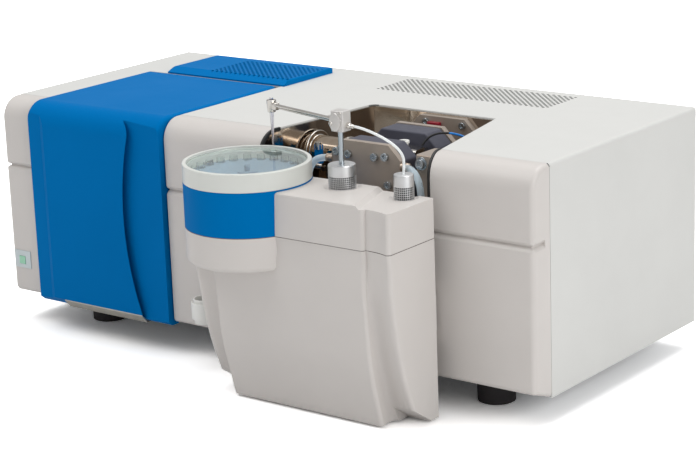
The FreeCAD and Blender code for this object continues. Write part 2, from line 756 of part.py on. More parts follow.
def optics():
    bench_low = 118
    bench_top = bench_low + 12
    plate = box(-362, 412, back(336), back(196), bench_low, bench_top)
    legs = [rod("z", 8, bench_low - base_z - S.sheet, x, back(y), base_z + S.sheet)
            for x in (-340, -110, 110, 390) for y in (322, 210)]
    lens = cut(fuse(rod("x", 24, 14, -120, back(S.beam_back), beam_z),
                    box(-120, -106, back(S.beam_back) - 16, back(S.beam_back) + 16,
                        bench_top - 0.5, beam_z - 15)),
               rod("x", 17, 20, -123, back(S.beam_back), beam_z))
    keep("optical_bench", fuse(plate, lens, *legs))

    axis_z = beam_z - 45
    turret_x = -330
    disc = rod("x", 66, 12, turret_x, back(S.beam_back), axis_z)
    hub = rod("x", 12, 26, turret_x - 14, back(S.beam_back), axis_z)
    bore = rod("x", 4 + S.fit_gap, 60, turret_x - 20, back(S.beam_back), axis_z)
    keep("lamp_turret", cut(fuse(disc, hub), bore))
    lamps = []
    for number in range(6):
        angle = math.radians(90 + 60 * number)
        y = back(S.beam_back) + 45 * math.cos(angle)
        z = axis_z + 45 * math.sin(angle)
        lamps.append(fuse(
            rod("x", 18, 24, turret_x + 12, y, z), rod("x", 15, 78, turret_x + 36, y, z),
            rod("x", 16.5, 4, turret_x + 114, y, z)))
    keep("cathode_lamps", group(*lamps))
    motor = box(turret_x - 36, turret_x - 15, back(S.beam_back) - 22, back(S.beam_back) + 22,
                axis_z - 22, axis_z + 22)
    leg = box(turret_x - 24, turret_x - 18, back(S.beam_back) - 22, back(S.beam_back) + 22,
              bench_top, axis_z - 20)
    shaft = rod("x", 4, 40, turret_x - 20, back(S.beam_back), axis_z)
    keep("turret_motor", fuse(motor, leg, shaft))

    # Monochromator box with its slit openings and a lid seam
    left, right = 294, 414
    near_y, far_y = back(336), back(150)
    top = 298
    shell = cut(box(left, right, near_y, far_y, bench_top, top),
                box(left + 4, right - 4, near_y + 4, far_y - 4, bench_top + 4, top - 4),
                rod("x", 8, 10, left - 3, back(S.beam_back), beam_z),
                rod("y", 8, 10, 354, far_y - 6, beam_z))
    shell = rounded(shell, 4, lambda e: runs_along(e, "z") and e.BoundBox.ZMax > 297
                    and e.BoundBox.ZMin < 131)
    x, y = 340, back(200)
    post = rod("z", 3, 17, x, y, bench_top + 3)
    detector = fuse(rod("y", 26, 58.5, 354, far_y - 0.5, beam_z - 20),
                    rod("y", 22, 14, 354, far_y + 58, beam_z - 20))
    keep("monochromator", fuse(shell, post, detector))
    table = fuse(rod("z", 20, 8, x, y, bench_top + 6), rod("z", 8, 10, x, y, bench_top + 12),
                 box(x - 12, x + 12, y - 6, y + 6, bench_top + 20, bench_top + 24),
                 box(x - 25, x + 25, y - 4, y + 4, bench_top + 22, bench_top + 72))
    keep("grating", cut(table, rod("z", 3 + S.fit_gap, 20, x, y, bench_top + 1)))


def electronics():
    floor = base_z + S.sheet
    supply = cut(box(-395, -250, back(132), back(14), floor, 112),
                 box(-392, -253, back(129), back(17), floor + 3, 109),
                 *[box(-378 + 14 * n, -372 + 14 * n, back(134), back(126), 55, 95)
                   for n in range(8)])
    keep("power_supply", supply)
    core = cut(box(-70, 70, back(176), back(76), floor, 152),
               box(-48, -20, back(180), back(70), 62, 128),
               box(20, 48, back(180), back(70), 62, 128))
    coil = cut(box(-46, 46, back(190), back(62), 64, 126),
               box(-20.3, 20.3, back(176.3), back(75.7), 60, 130))
    keep("furnace_transformer", group(core, coil))
    board = box(120, 300, back(170), back(36), 70, 71.6)
    studs = [rod("z", 3, 70 - floor, x, back(y), floor) for x in (126, 294) for y in (164, 42)]
    chips = [box(140 + 38 * n, 162 + 38 * n, back(130), back(108), 71.6, 75) for n in range(4)]
    caps = [rod("z", 8, 22, 150 + 26 * n, back(64), 71.6) for n in range(5)]
    keep("control_board", fuse(board, *studs, *chips, *caps))


def rear_pieces():
    x, z = S.magnet_x, base_z + 150
    frame = cut(box(x - 40, x + 40, back(27.8), back(2.5), z - 40, z + 40),
                rod("y", 37.5, 40, x, back(34), z))
    spokes = [box(x - 38, x + 38, back(27.8), back(25.8), z - 2.5, z + 2.5),
              box(x - 2.5, x + 2.5, back(27.8), back(25.8), z - 38, z + 38)]
    seat = fuse(rod("y", 15, 2, x, back(27.8), z), rod("y", 2.5, 12.5, x, back(26.8), z))
    keep("fan_frame", fuse(frame, *spokes, seat))
    hub = cut(rod("y", 15, 17, x, back(25.4), z), rod("y", 2.5 + S.fit_gap, 12, x, back(26), z))
    blades = []
    for number in range(7):
        blade = doc.addObject("Part::Box", "Blade")
        for name, size in (("Length", 24), ("Width", 2), ("Height", 15)):
            bind(blade, name, size)
        turn = Rotation(Vector(0, 1, 0), 360 / 7 * number)
        tilt = Rotation(Vector(1, 0, 0), 35)
        spot = turn.multVec(Vector(11.5, 0, -6))
        place(blade, x + spot.x, back(16), z + spot.z, turn.multiply(tilt))
        blades.append(blade)
    keep("fan_rotor", fuse(hub, *blades))

    inlet_z = base_z + 54
    right = S.half_wide
    flange = box(right - 110, right - 40, back(0), back(-2.5), inlet_z - 18, inlet_z + 18)
    socket = box(right - 74.5, right - 45.5, back(24), back(0), inlet_z - 11.5, inlet_z + 11.5)
    case = box(right - 104.5, right - 86.5, back(22), back(0), inlet_z - 11.5, inlet_z + 11.5)
    well = box(right - 72, right - 48, back(16), back(-3), inlet_z - 9, inlet_z + 9)
    gap = box(right - 102, right - 89, back(14), back(-3), inlet_z - 10, inlet_z + 10)
    pins = [box(right - 61 + dx, right - 59 + dx, back(16.5), back(2), inlet_z - 3 + dz,
                inlet_z + 3 + dz) for dx, dz in ((-7, -2), (0, 3), (7, -2))]
    pivot_bore = rod("x", 1.2 + S.fit_gap, 16.2, right - 103.6, back(3), inlet_z)
    keep("mains_inlet", fuse(cut(fuse(flange, socket, case), well, gap, pivot_bore), *pins))
    rocker = box(right - 101.7, right - 89.3, back(7), back(-3.2), inlet_z - 8, inlet_z + 8)
    rocker = rounded(rocker, 2, lambda e: runs_along(e, "x"))
    keep("power_rocker", fuse(rocker, rod("x", 1.2, 16, right - 103.5, back(3), inlet_z)))

    fittings = []
    for number in range(4):
        fx = -60 + number * 32
        fz = base_z + 46
        reach = S.fitting_reach
        fittings.append(cut(
            fuse(rod("y", 8.5, 5, fx, back(0), fz), rod("y", 5, 14, fx, back(13.5), fz),
                 rod("y", 3.4, reach, fx, back(0), fz),
                 rod("y", 8, 4, fx, back(6.5), fz),
                 cone("y", 4.6, 3.4, 4, fx, back(4 - reach), fz)),
            rod("y", 2, reach + 20, fx, back(15), fz)))
    keep("service_fittings", group(*fittings))


def yoke_plate(y0, y1, inset):
    """A magnet plate with chamfered top corners."""
    half = S.plate_half - inset
    cham = S.plate_chamfer
    high = S.plate_high - S.magnet_base - inset
    body = padded("XZ_Plane", [
        (0, 0), (half * 2, 0), (half * 2, high - cham), (half * 2 - cham, high), (cham, high),
        (0, high - cham)], y1 - y0)
    return place(body, S.magnet_x - half, y1, S.magnet_base)


def magnet():
    front = back(S.front_plate_back + S.plate_thick)
    front_end = back(S.front_plate_back)
    spots = [(-43.3, 295.2), (-25.3, 293.3), (14, 293.7), (30, 295.5), (33.3, 260.9),
             (-43.3, 225), (33.3, 225)]
    screws = [screw("y", S.magnet_x + x, front, z, 2.9, 4.2, 7.5) for x, z in spots]
    holes = [rod("y", 2.9, 30, S.magnet_x + x, front - 4, z) for x, z in spots]
    keep("magnet_front_plate", cut(yoke_plate(front, front_end, 0), *holes))
    coil_end = back(S.front_coil_back)
    keep("magnet_front_coil", yoke_plate(front_end, coil_end, 0.8))
    rear0 = back(S.rear_coil_back + S.rear_coil_deep)
    rear1 = back(S.rear_coil_back)
    keep("magnet_rear_coil", yoke_plate(rear0, rear1, 0.8))
    middle = yoke_plate(rear1, rear1 + S.plate_thick, 0)
    plate0 = back(S.rear_plate_back + S.plate_thick)
    rear_spots = [(-24, 302.5), (31.6, 302.1), (43.6, 283), (-43.6, 283)]
    screws += [screw("y", S.magnet_x + x, plate0, z, 2.6, 3.6, 7.5) for x, z in rear_spots]
    rear_holes = [rod("y", 2.6, 30, S.magnet_x + x, plate0 - 4, z) for x, z in rear_spots]
    rear_plate = cut(yoke_plate(plate0, back(S.rear_plate_back), 0), *rear_holes)
    keep("magnet_rear_plates", group(middle, rear_plate))
    side_front = float(back(S.side_front))
    screws.append(screw("y", 247, side_front - 1.2, 293, 3.35, 4.5, 8).fuse(
        Part.makeCylinder(8, 1.2, Vector(247, side_front - 1.2, 293), Vector(0, 1, 0))))
    keep("plate_screws", fixed(Part.makeCompound(screws)))
    keep("red_terminal", box(S.magnet_x - 18.5, S.magnet_x - 1, plate0 - 7, plate0, 292, 303.6))


def furnace():
    x0 = S.port_x
    half_split = S.clamp_split / 2
    y = back(S.beam_back)
    floor = S.bay_floor
    stand_top = S.magnet_base
    deep = S.clamp_deep / 2
    block_low = beam_z - 31
    block_top = beam_z + 20
    plate = fuse(box(52, 238, back(345), back(196), floor, stand_top),
                 box(238, 258, back(345), back(300), floor, stand_top))
    pedestal = box(x0 - S.clamp_half, x0 + S.clamp_half + 14, y - 10, y + 10, stand_top,
                   block_low - S.run_gap)
    fixed_seat = box(x0 - S.clamp_half, x0 - half_split - 4, y - 10, y + 10,
                     block_low - S.run_gap, block_low)
    side_seat = box(240, 254, back(340), back(308), stand_top, 238)
    lever_post = cut(box(56, 66, back(324), back(312), stand_top, 270),
                     rod("x", 1, 20, 50, back(318), 264))
    tube_seat = box(66, 88, y - 12, y + 12, stand_top, beam_z - 18)
    lever_pin = fuse(rod("x", 2, 28, 53.5, back(318), 264),
                     rod("x", 3.4, 2.2, 51.3, back(318), 264))
    yoke = box(S.magnet_x - 44, S.magnet_x + 44, back(S.rear_coil_back - S.plate_thick),
               back(S.rear_plate_back + S.plate_thick), stand_top - 0.5, stand_top + 62)
    keep("furnace_stand", fuse(plate, pedestal, fixed_seat, side_seat, lever_post, lever_pin,
                               yoke, cut(tube_seat,
                                         rod("x", S.window_radius + S.run_gap, 60, 60, y,
                                             beam_z))))

    left = box(x0 - S.clamp_half, x0 - half_split, y - deep, y + deep, block_low, block_top)
    right = box(x0 + half_split, x0 + S.clamp_half, y - deep, y + deep, block_low, block_top)

    def top_edge(edge):
        return near(edge.BoundBox.ZMin, block_top) and runs_along(edge, "x")

    left = rounded(left, 5, top_edge)
    right = rounded(right, 5, top_edge)
    port_y = back(S.port_back)
    relief = rod("z", S.port_radius + 0.3, 60, x0, port_y, beam_z + 2)
    bore = rod("x", S.tube_radius + S.fit_gap, 80, x0 - 40, y, beam_z)
    keep("furnace_contact", cut(left, relief, bore))
    keep("furnace_clamp", cut(
        right, rod("z", S.port_radius + 0.3, 60, x0, port_y, beam_z + 2),
        rod("x", S.tube_radius + S.fit_gap, 80, x0 - 40, y, beam_z)))
    port_low = beam_z + S.tube_radius + 0.3
    graphite = cut(rod("x", S.tube_radius, S.tube_half * 2, x0 - S.tube_half, y, beam_z),
                   rod("x", S.tube_bore, 80, x0 - 40, y, beam_z),
                   rod("z", 1.5, 10, x0, port_y, beam_z))
    keep("graphite_tube", graphite)
    stem = rod("z", S.port_radius, S.port_high - port_low, x0, port_y, port_low)
    cap = rod("z", S.port_radius + 1.6, 3.6, x0, port_y, S.port_high - 3.6)
    keep("dosing_port", cut(fuse(stem, cap),
                            rod("z", S.port_bore, 60, x0, port_y, port_low - 5)))

    # Window tubes on the beam
    flange_x = 42.9
    outer = fuse(rod("x", S.window_radius, 110, -8, y, beam_z),
                 rod("x", 13, 50, 102, y, beam_z),
                 rod("x", 26, 4, flange_x, y, beam_z),
                 rod("x", 22.5, 5, 92, y, beam_z))
    left_tube = cut(outer, rod("x", 10, 200, -20, y, beam_z))
    right_outer = fuse(rod("x", 13, 72, 222, y, beam_z),
                       rod("x", 19, 5, 231, y, beam_z))
    right_tube = cut(right_outer, rod("x", 9, 100, 210, y, beam_z))
    keep("window_tubes", group(left_tube, right_tube))

    block = box(238, 262, back(344), back(304), 238, 303)
    block = rounded(block, 3, lambda e: runs_along(e, "z"))
    keep("side_block", cut(block, rod("y", 3.4, 20, 247, back(346), 298 - 5)))

    # Blue lever, on a pin through its post
    hub = cut(rod("x", 5, 12, 66.3, back(318), 264),
              rod("x", 2 + S.fit_gap, 20, 60, back(318), 264))
    arm = box(67.3, 76.3, back(321), back(315), 268.4, 292)
    grip = rod("z", 4.6, 9, 71.8, back(318), 286)
    keep("clamp_lever", fuse(hub, arm, grip))


def bay_lines():
    """Water hoses and the sensor lead inside the bay, held at both ends."""
    plate_left = float(S.magnet_x - S.plate_half)
    plate_right = float(S.magnet_x + S.plate_half)
    left = [(108, 341, 284), (79, 349, 284), (79, 352, 178.3)]
    right = [(223, 341, 285), (262, 367, 287), (262, 366, 178.3)]
    radius = 4.2
    hoses = [tube(at_back(left), radius, 0.97), tube(at_back(right), radius, 0.75)]
    elbow_left = Part.makeCylinder(
        5.6, plate_left - 108, Vector(108, float(back(341)), 284), Vector(1, 0, 0))
    elbow_right = Part.makeCylinder(
        5.6, 223 - plate_right, Vector(plate_right, float(back(341)), 285), Vector(1, 0, 0))
    lead = [(200, 276, 296), (204, 272, 305), (213, 266, 310.3), (225, 260, 311.3),
            (237, 252, 308), (245, 244, 302.5), (250.2, 238, 297)]
    pieces = hoses + [elbow_left, elbow_right, tube(at_back(lead), 1.4)]
    keep("bay_lines", fixed(Part.makeCompound(pieces)))


def sampler_section(high, inset, grow_rear=0.0):
    """Plan of the sampler at one height, as a closed wire."""
    fronts = [(3.5, 463.0, 441.0), (25, 469.0, 449.0), (53, 476.0, 460.0), (83, 482.0, 469.5),
              (117, 485.0, 477.0), (150, 487.4, 483.0), (190, 488.5, 487.5),
              (223, 488.8, 489.5), (280, 487.0, 487.5)]
    low = fronts[0]
    panel = rib = 0.0
    for first, second in zip(fronts, fronts[1:]):
        if first[0] <= high <= second[0]:
            share = (high - first[0]) / (second[0] - first[0])
            panel = first[1] + share * (second[1] - first[1])
            rib = first[2] + share * (second[2] - first[2])
    valley = min(panel, rib) - 5.0
    lean = max(0.0, (223 - high)) * 0.02
    left = float(S.sampler_left) + inset
    right = float(S.sampler_right) - inset
    p_left = float(S.panel_left) + inset + lean
    p_right = float(S.panel_right) - inset
    rear = float(S.sampler_rear) + inset - grow_rear
    panel, rib, valley = panel - inset, rib - inset, valley - inset
    half = 1 - math.sqrt(0.5)

    def spot(x, deep):
        return Vector(x, float(back(deep)), high)

    c = 5.0
    edges = [
        Part.LineSegment(spot(left, rear), spot(left, rib - c)).toShape(),
        Part.Arc(spot(left, rib - c), spot(left + c * half, rib - c * half),
                 spot(left + c, rib)).toShape(),
        spline([spot(left + c, rib), spot((left + p_left) / 2, valley + 1.5),
                spot(p_left - 4, valley), spot(p_left, panel - c)]),
        Part.Arc(spot(p_left, panel - c), spot(p_left + c * half, panel - c * half),
                 spot(p_left + c, panel)).toShape(),
        Part.LineSegment(spot(p_left + c, panel), spot(p_right - c, panel)).toShape(),
        Part.Arc(spot(p_right - c, panel), spot(p_right - c * half, panel - c * half),
                 spot(p_right, panel - c)).toShape(),
        spline([spot(p_right, panel - c), spot(p_right + 4, valley),
                spot((p_right + right) / 2, valley + 1.5), spot(right - c, rib)]),
        Part.Arc(spot(right - c, rib), spot(right - c * half, rib - c * half),
                 spot(right, rib - c)).toShape(),
        Part.LineSegment(spot(right, rib - c), spot(right, rear)).toShape(),
        Part.LineSegment(spot(right, rear), spot(left, rear)).toShape(),
    ]
    return Part.Wire(edges)


def spline(spots):
    curve = Part.BSplineCurve()
    curve.interpolate(spots)
    return curve.toShape()


def sampler_loft(heights, inset, grow_rear=0.0):
    wires = [sampler_section(h, inset, grow_rear) for h in heights]
    return Part.makeLoft(wires, True, False)


def upright(radius, z0, z1, x, deep):
    return Part.makeCylinder(float(radius), float(z1) - float(z0),
                             Vector(float(x), float(back(deep)), float(z0)))


def sampler():
    base = float(S.sampler_base)
    seam = float(S.sampler_seam)
    wall = float(S.sampler_skin)
    heights = [base, 25.0, 53.0, 83.0, 117.0, 150.0, 190.0, seam]
    body = sampler_loft(heights, 0.0)
    bowl_r = float(S.bowl_radius)
    bowl_low = float(S.bowl_low)
    bowl = upright(bowl_r, bowl_low, seam, S.bowl_x, S.bowl_back)
    bottom = [e for e in bowl.Edges if near(e.BoundBox.ZMax, bowl_low)]
    bowl = bowl.makeFillet(7.0, bottom)
    # The side wings are cut away below: a slope from the front up to the rear
    right, left = float(S.sampler_right), float(S.sampler_left)
    slope = Part.Face(Part.makePolygon([
        Vector(0, float(back(500)), base - 1), Vector(0, float(back(417)), base - 1),
        Vector(0, float(back(417)), base + 1), Vector(0, float(back(453)), base + 25),
        Vector(0, float(back(500)), base + 60), Vector(0, float(back(500)), base - 1)]))
    for x0, x1 in ((float(S.panel_right) + 4, right + 5), (left - 5, float(S.panel_left) - 1)):
        wing = slope.copy()
        wing.translate(Vector(x0, 0, 0))
        body = body.cut(wing.extrude(Vector(x1 - x0, 0, 0)))
    inner_heights = [base + wall, 25.0, 53.0, 83.0, 117.0, 150.0, 190.0, seam]
    hollow = sampler_loft(inner_heights, wall)
    lid_cut = Part.makeBox(right - left - 2 * wall, 80, 4,
                           Vector(left + wall, float(back(482)), seam - 0.5))
    hollow = hollow.fuse(lid_cut)
    for x0, x1 in ((float(S.panel_right) + 1, right + 5), (left - 5, float(S.panel_left) + 2)):
        wing = slope.copy()
        wing.translate(Vector(x0, 0, wall))
        hollow = hollow.cut(wing.extrude(Vector(x1 - x0, 0, 0)))
    hollow = hollow.cut(upright(bowl_r, bowl_low, seam + 10, S.bowl_x, S.bowl_back))
    inside_r = bowl_r - float(S.bowl_wall)
    inside = upright(inside_r, bowl_low + 4, seam + 10, S.bowl_x, S.bowl_back)
    inside = inside.makeFillet(5.0, [e for e in inside.Edges if near(e.BoundBox.ZMax, bowl_low + 4)])
    shaft_hole = upright(4.2, bowl_low - 5, seam, S.bowl_x, S.bowl_back)
    shell = body.fuse(bowl).cut(hollow).cut(inside).cut(shaft_hole)
    lug = Part.makeBox(10, float(S.sampler_rear - S.hinge_back) + 8, 44,
                       Vector(float(S.hinge_x) - 5, float(back(S.sampler_rear)) - 1, 105.5))
    lug = lug.makeFillet(4.0, [e for e in lug.Edges if runs_along(e, "z") and
                               e.BoundBox.YMin > float(back(S.hinge_back))])
    pin_hole = upright(S.hinge_radius + S.fit_gap, 50, 230, S.hinge_x, S.hinge_back)
    shell = shell.fuse(lug).cut(pin_hole)
    keep("sampler_body", fixed(shell))

    # Hinge on the cabinet: a plate, two knuckles and the pin
    x, deep = float(S.hinge_x), float(S.hinge_back)
    plate = Part.makeBox(32, 2, 88, Vector(x - 40, float(back(S.face_deep + 2.05)), 84))
    knuckles = []
    for z in (90.0, 150.0):
        ear = Part.makeCylinder(5, 15, Vector(x, float(back(deep)), z))
        web = Part.makeBox(12, deep - float(S.face_deep) - 2, 15,
                           Vector(x - 12, float(back(deep)), z))
        knuckles.append(ear.fuse(web))
    hinge = plate.fuse(knuckles[0]).fuse(knuckles[1])
    pin = Part.makeCylinder(float(S.hinge_radius), 79, Vector(x, float(back(deep)), 88))
    keep("sampler_hinge", fixed(hinge.fuse(pin)))


def sloped_dish(radius, slope, top, deep, x, at):
    """The tool for a dished seat whose wall slopes up around a boss."""
    floor_radius = float(radius) + 1
    place = Vector(float(x), float(back(at)), top - deep)
    cone = Part.makeCone(floor_radius, floor_radius + slope, deep, place)
    return cone.fuse(upright(floor_radius + slope, top, top + 8, x, at))


def sampler_top():
    seam = float(S.sampler_seam) + 0.4
    high = float(S.cover_high)
    lower = float(S.cover_low_high)
    wall = float(S.sampler_skin)
    soft = float(S.cover_round)
    solid = sampler_loft([seam, high - soft], 0.0)
    rim = [sampler_section(high - soft, 0.0), sampler_section(high - 0.35 * soft, 0.2 * soft),
           sampler_section(high, 0.8 * soft)]
    solid = solid.fuse(Part.makeLoft(rim, True, True))
    # The right part of the top lies lower, past a slanted step
    levels = []
    for z, shift in ((lower, 0), (high + 5, 12)):
        corners = [Vector(float(S.panel_right) - 2 - shift, float(back(500)), z),
                   Vector(340, float(back(500)), z), Vector(340, float(back(390)), z),
                   Vector(228 - shift, float(back(390)), z)]
        levels.append(Part.makePolygon(corners + corners[:1]))
    solid = solid.cut(Part.makeLoft(levels, True, True))
    around = upright(S.bowl_radius + S.run_gap, seam - 5, high + 10, S.bowl_x, S.bowl_back)
    front_left = Part.makeBox(float(S.cover_left_x) + 60, float(S.bowl_back) - 300, 100,
                              Vector(-60, float(back(S.bowl_back + 160)), seam - 10))
    solid = solid.cut(around).cut(front_left)
    hollow = sampler_loft([seam, lower - wall], wall)
    hollow = hollow.cut(upright(S.bowl_radius + wall, seam - 5, high + 10,
                                S.bowl_x, S.bowl_back))
    hollow = hollow.cut(Part.makeBox(float(S.cover_left_x) + wall + 60, 200, 100,
                                     Vector(-60, float(back(S.bowl_back + 160)), seam - 10)))
    dish = float(S.dish_deep)
    slope = float(S.dish_slope)
    solid = solid.cut(hollow.cut(upright(
        18, lower - dish - wall, lower, S.wash_x, S.wash_back)))
    dish_big = sloped_dish(S.boss_radius, slope, high, dish, S.arm_x, S.arm_back)
    dish_small = sloped_dish(S.wash_radius, slope - 1, lower, dish, S.wash_x, S.wash_back)
    holes = [upright(12, seam - 5, high + 5, S.arm_x, S.arm_back),
             upright(8, seam - 5, high + 5, S.wash_x, S.wash_back)]
    solid = solid.cut(dish_big).cut(dish_small).cut(holes[0]).cut(holes[1])
    largest = sorted(solid.Solids, key=lambda piece: piece.Volume)[-1]
    keep("sampler_cover", fixed(largest))

    # Knurled bosses, each with a flange under the cover
    bosses = []
    for name, radius, tall, x, deep, floor, bore in (
            ("lift_boss", S.boss_radius, S.boss_tall + S.dish_deep, S.arm_x, S.arm_back,
             S.cover_high - S.dish_deep, S.shaft_radius + S.fit_gap),
            ("wash_boss", S.wash_radius, S.wash_tall + S.dish_deep, S.wash_x, S.wash_back,
             S.cover_low_high - S.dish_deep, S.tube_outer + S.fit_gap)):
        neck = 11.8 if name == "lift_boss" else 7.8
        boss = fuse(rod("z", radius, tall, x, back(deep), floor),
                    rod("z", neck, 6, x, back(deep), floor - 6))
        boss = cut(boss, rod("z", bore, 60, x, back(deep), floor - 8))
        top = floor + tall
        bosses.append(rounded(boss, 1.6, lambda e: near(e.BoundBox.ZMin, top) and
                              e.BoundBox.XLength > float(radius) * 1.5))
    keep("knurled_bosses", group(*bosses))


def bowl():
    r = S.bowl_radius
    x, y = S.bowl_x, back(S.bowl_back)
    band = cut(rod("z", r, S.band_high - S.band_low - 0.6, x, y, S.band_low + 0.2),
               rod("z", r - S.bowl_wall, 100, x, y, S.band_low - 5))
    keep("bowl_band", band)
    ring = cut(rod("z", r, S.ring_high - S.band_high, x, y, S.band_high),
               rod("z", r - 6.6, 60, x, y, S.band_high - 5),
               rod("z", r - 5, 60, x, y, S.ring_high - 5.6),
               rod("z", r - S.bowl_wall, 14, x, y, S.band_high - 1))
    ring = rounded(ring, 1.2, lambda e: near(e.BoundBox.ZMin, S.ring_high) and
                   e.BoundBox.XLength > 2 * float(r) - 0.5)
    keep("lid_ring", ring)
    glass = cut(rod("z", r - 5.3, 3, x, y, S.ring_high - 5.6),
                rod("z", 4.5, 20, S.needle_x, back(S.needle_back), S.ring_high - 15))
    keep("lid_glass", glass)

    # Carousel tray: two plates on a hub, with a ring of vial holes
    dx = float(S.needle_x - S.bowl_x)
    dy = float(S.bowl_back - S.needle_back)
    pitch_radius = math.hypot(dx, dy)
    start = math.atan2(dy, dx)
    count = 24
    holes, vials = [], []
    hub_floor = float(S.bowl_low) + 8
    tray_z = float(S.tray_high)
    for number in range(count):
        angle = start + 2 * math.pi * number / count
        vx = float(x) + pitch_radius * math.cos(angle)
        vy = float(y) + pitch_radius * math.sin(angle)
        holes.append(Part.makeCylinder(5.3, 40, Vector(vx, vy, tray_z - 30)))
        outer = Part.makeCylinder(float(S.vial_radius), 26, Vector(vx, vy, tray_z - 20))
        inner = Part.makeCylinder(float(S.vial_radius) - 0.9, 30, Vector(vx, vy, tray_z - 18))
        lip = Part.makeCylinder(float(S.vial_radius) + 0.7, 1.5, Vector(vx, vy, tray_z + 0.1))
        vials.append(outer.fuse(lip).cut(inner))
    return vials, holes, tray_z, hub_floor


def tray_parts(vials, holes, tray_z, hub_floor):
    x, y = S.bowl_x, back(S.bowl_back)
    reach = S.tray_radius + 1
    plates = fuse(rod("z", reach, 3, x, y, tray_z - 3), rod("z", reach, 3, x, y, tray_z - 21),
                  rod("z", 9, tray_z - hub_floor - 1, x, y, hub_floor))
    drilled = cut(plates, fixed(Part.makeCompound(holes)),
                  rod("z", 3 + S.fit_gap, tray_z - hub_floor - 6, x, y, hub_floor - 1))
    lower = rod("z", reach, 1.5, x, y, tray_z - 21.5)
    tray = fuse(drilled, cut(lower, rod("z", 8, 5, x, y, tray_z - 23)))
    knob = fuse(rod("z", 3, 7, x, y, tray_z - 1.5), rod("z", 12, 1.5, x, y, tray_z - 0.1))
    ball = doc.addObject("Part::Sphere", "Ball")
    bind(ball, "Radius", 3.6)
    place(ball, x, y, tray_z + 6.6)
    keep("sample_tray", fuse(tray, cut(fuse(knob, ball), rod("z", 20, 3, x, y, tray_z - 3))))
    keep("sample_vials", fixed(Part.makeCompound(vials)))


def drives():
    """Tray motor under the bowl and the lift drive under the arm."""
    x, y = S.bowl_x, back(S.bowl_back)
    low = S.bowl_low
    motor = fuse(box(x - 21, x + 21, y - 17, y + 21, low - 38, low),
                 rod("z", 3, S.tray_high - 7.3 - low, x, y, low))
    floor = S.sampler_base + S.sampler_skin
    post = box(214, 232, back(434), back(412), floor, 262)
    motor2 = box(170, 206, back(444), back(410), floor, floor + 40)
    screw_rod = rod("z", 3, 190, S.arm_x + 14, back(434), floor + 40)
    keep("sampler_drives", group(motor, post, fuse(motor2, screw_rod)))
    block = cut(box(S.arm_x - 12, 213.7, back(S.arm_back + 18), back(S.arm_back - 10), 196, 214),
                rod("z", 3 + S.fit_gap, 60, S.arm_x + 14, back(434), 180),
                rod("z", S.shaft_radius + S.fit_gap, 60, S.arm_x, back(S.arm_back), 180))
    keep("lift_carriage", block)


def arm():
    x, y, z = S.arm_x, back(S.arm_back), S.arm_high
    collar = rod("z", 7, 5, x, y, 214.0)
    foot = rod("z", 7, 4, x, y, 191.8)
    shaft = fuse(rod("z", S.shaft_radius, z - 11 - 191.8, x, y, 191.8), collar, foot)
    keep("arm_shaft", shaft)
    nx, ny = S.needle_x, back(S.needle_back)
    dx, dy = float(nx - x), float(ny - y)
    length = math.hypot(dx, dy)
    ux, uy = dx / length, dy / length
    rods, seats = [], []
    for side, thick in ((-1, 1.3), (1, 2.1)):
        shift = Vector(-uy * 1.8 * side, ux * 1.8 * side, side * 1.9)
        start = Vector(float(x) + ux * 4.5, float(y) + uy * 4.5, float(z)) + shift
        rods.append(Part.makeCylinder(thick, length - 10, start, Vector(ux, uy, 0)))
        seats.append(Part.makeCylinder(thick + 0.05, 20, start, Vector(ux, uy, 0)))
    block = box(x - 8, x + 10, y - 8, y + 8, z - 11, z + 14)
    block = rounded(block, 1.5, lambda e: True)
    screws = [rod("y", 2.6, 1.6, x + across, y - 9.6, z + up)
              for across, up in ((-3, 8), (5, 3), (-2, -6))]
    keep("arm_block", cut(fuse(block, *screws), fixed(Part.makeCompound(seats))))
    head = Part.makeCone(4.9, 6.1, 15, Vector(0, 0, -8))
    head = head.makeFillet(0.8, [e for e in head.Edges if near(e.BoundBox.ZMin, e.BoundBox.ZMax)])
    grip = Part.makeBox(8, 7.4, 9, Vector(-12, -3.7, -4.4))
    head = head.fuse(grip.makeFillet(1.2, grip.Edges))
    head = head.cut(Part.makeCylinder(2.2 + 0.4, 30, Vector(0, 0, -15)))
    head.rotate(Vector(0, 0, 0), Vector(0, 0, 1), math.degrees(math.atan2(dy, dx)))
    head.translate(Vector(float(nx), float(ny), float(z)))
    keep("arm_rods", fixed(Part.makeCompound(rods + [head])))
    tip = S.needle_tip
    needle = fuse(cone("z", 0.9, 2.5, 40, nx, ny, tip),
                  rod("z", 2.5, z + 9 - tip - 40, nx, ny, tip + 40))
    keep("needle", cut(needle, rod("z", 0.5, 100, nx, ny, tip - 2)))
    line = [(198.5, 421.2, 349.6), (229, 419, 344.5), (256, 417, 335.5), (272, 415, 321),
            (272, 415, 288)]
    keep("capillary_tube", fixed(tube(at_back(line), float(S.tube_outer))))


def build():
    cabinet()
    top_sheets()
    mouldings()
    door_parts()
    rear_cover()
    bay()
    small_front_pieces()
    optics()
    electronics()
    rear_pieces()
    magnet()
    furnace()
    bay_lines()
    sampler()
    sampler_top()
    tray_parts(*bowl())
    drives()
    arm()


def check():
    doc.recompute()
    for thing in doc.Objects:
        if "Invalid" in thing.State or "Error" in thing.State:
            raise RuntimeError("%s: %s" % (thing.Name, thing.State))
    for thing in parts:
        shape = thing.Shape
        if shape.isNull() or not shape.isValid() or not shape.Solids:
            raise RuntimeError("bad shape: " + thing.Label)


def write():
    os.makedirs("parts", exist_ok=True)
    for thing in parts:
        thing.Shape.exportStep("parts/%s.step" % thing.Label)
        print(thing.Label, len(thing.Shape.Solids), round(thing.Shape.Volume))


build()
check()
write()
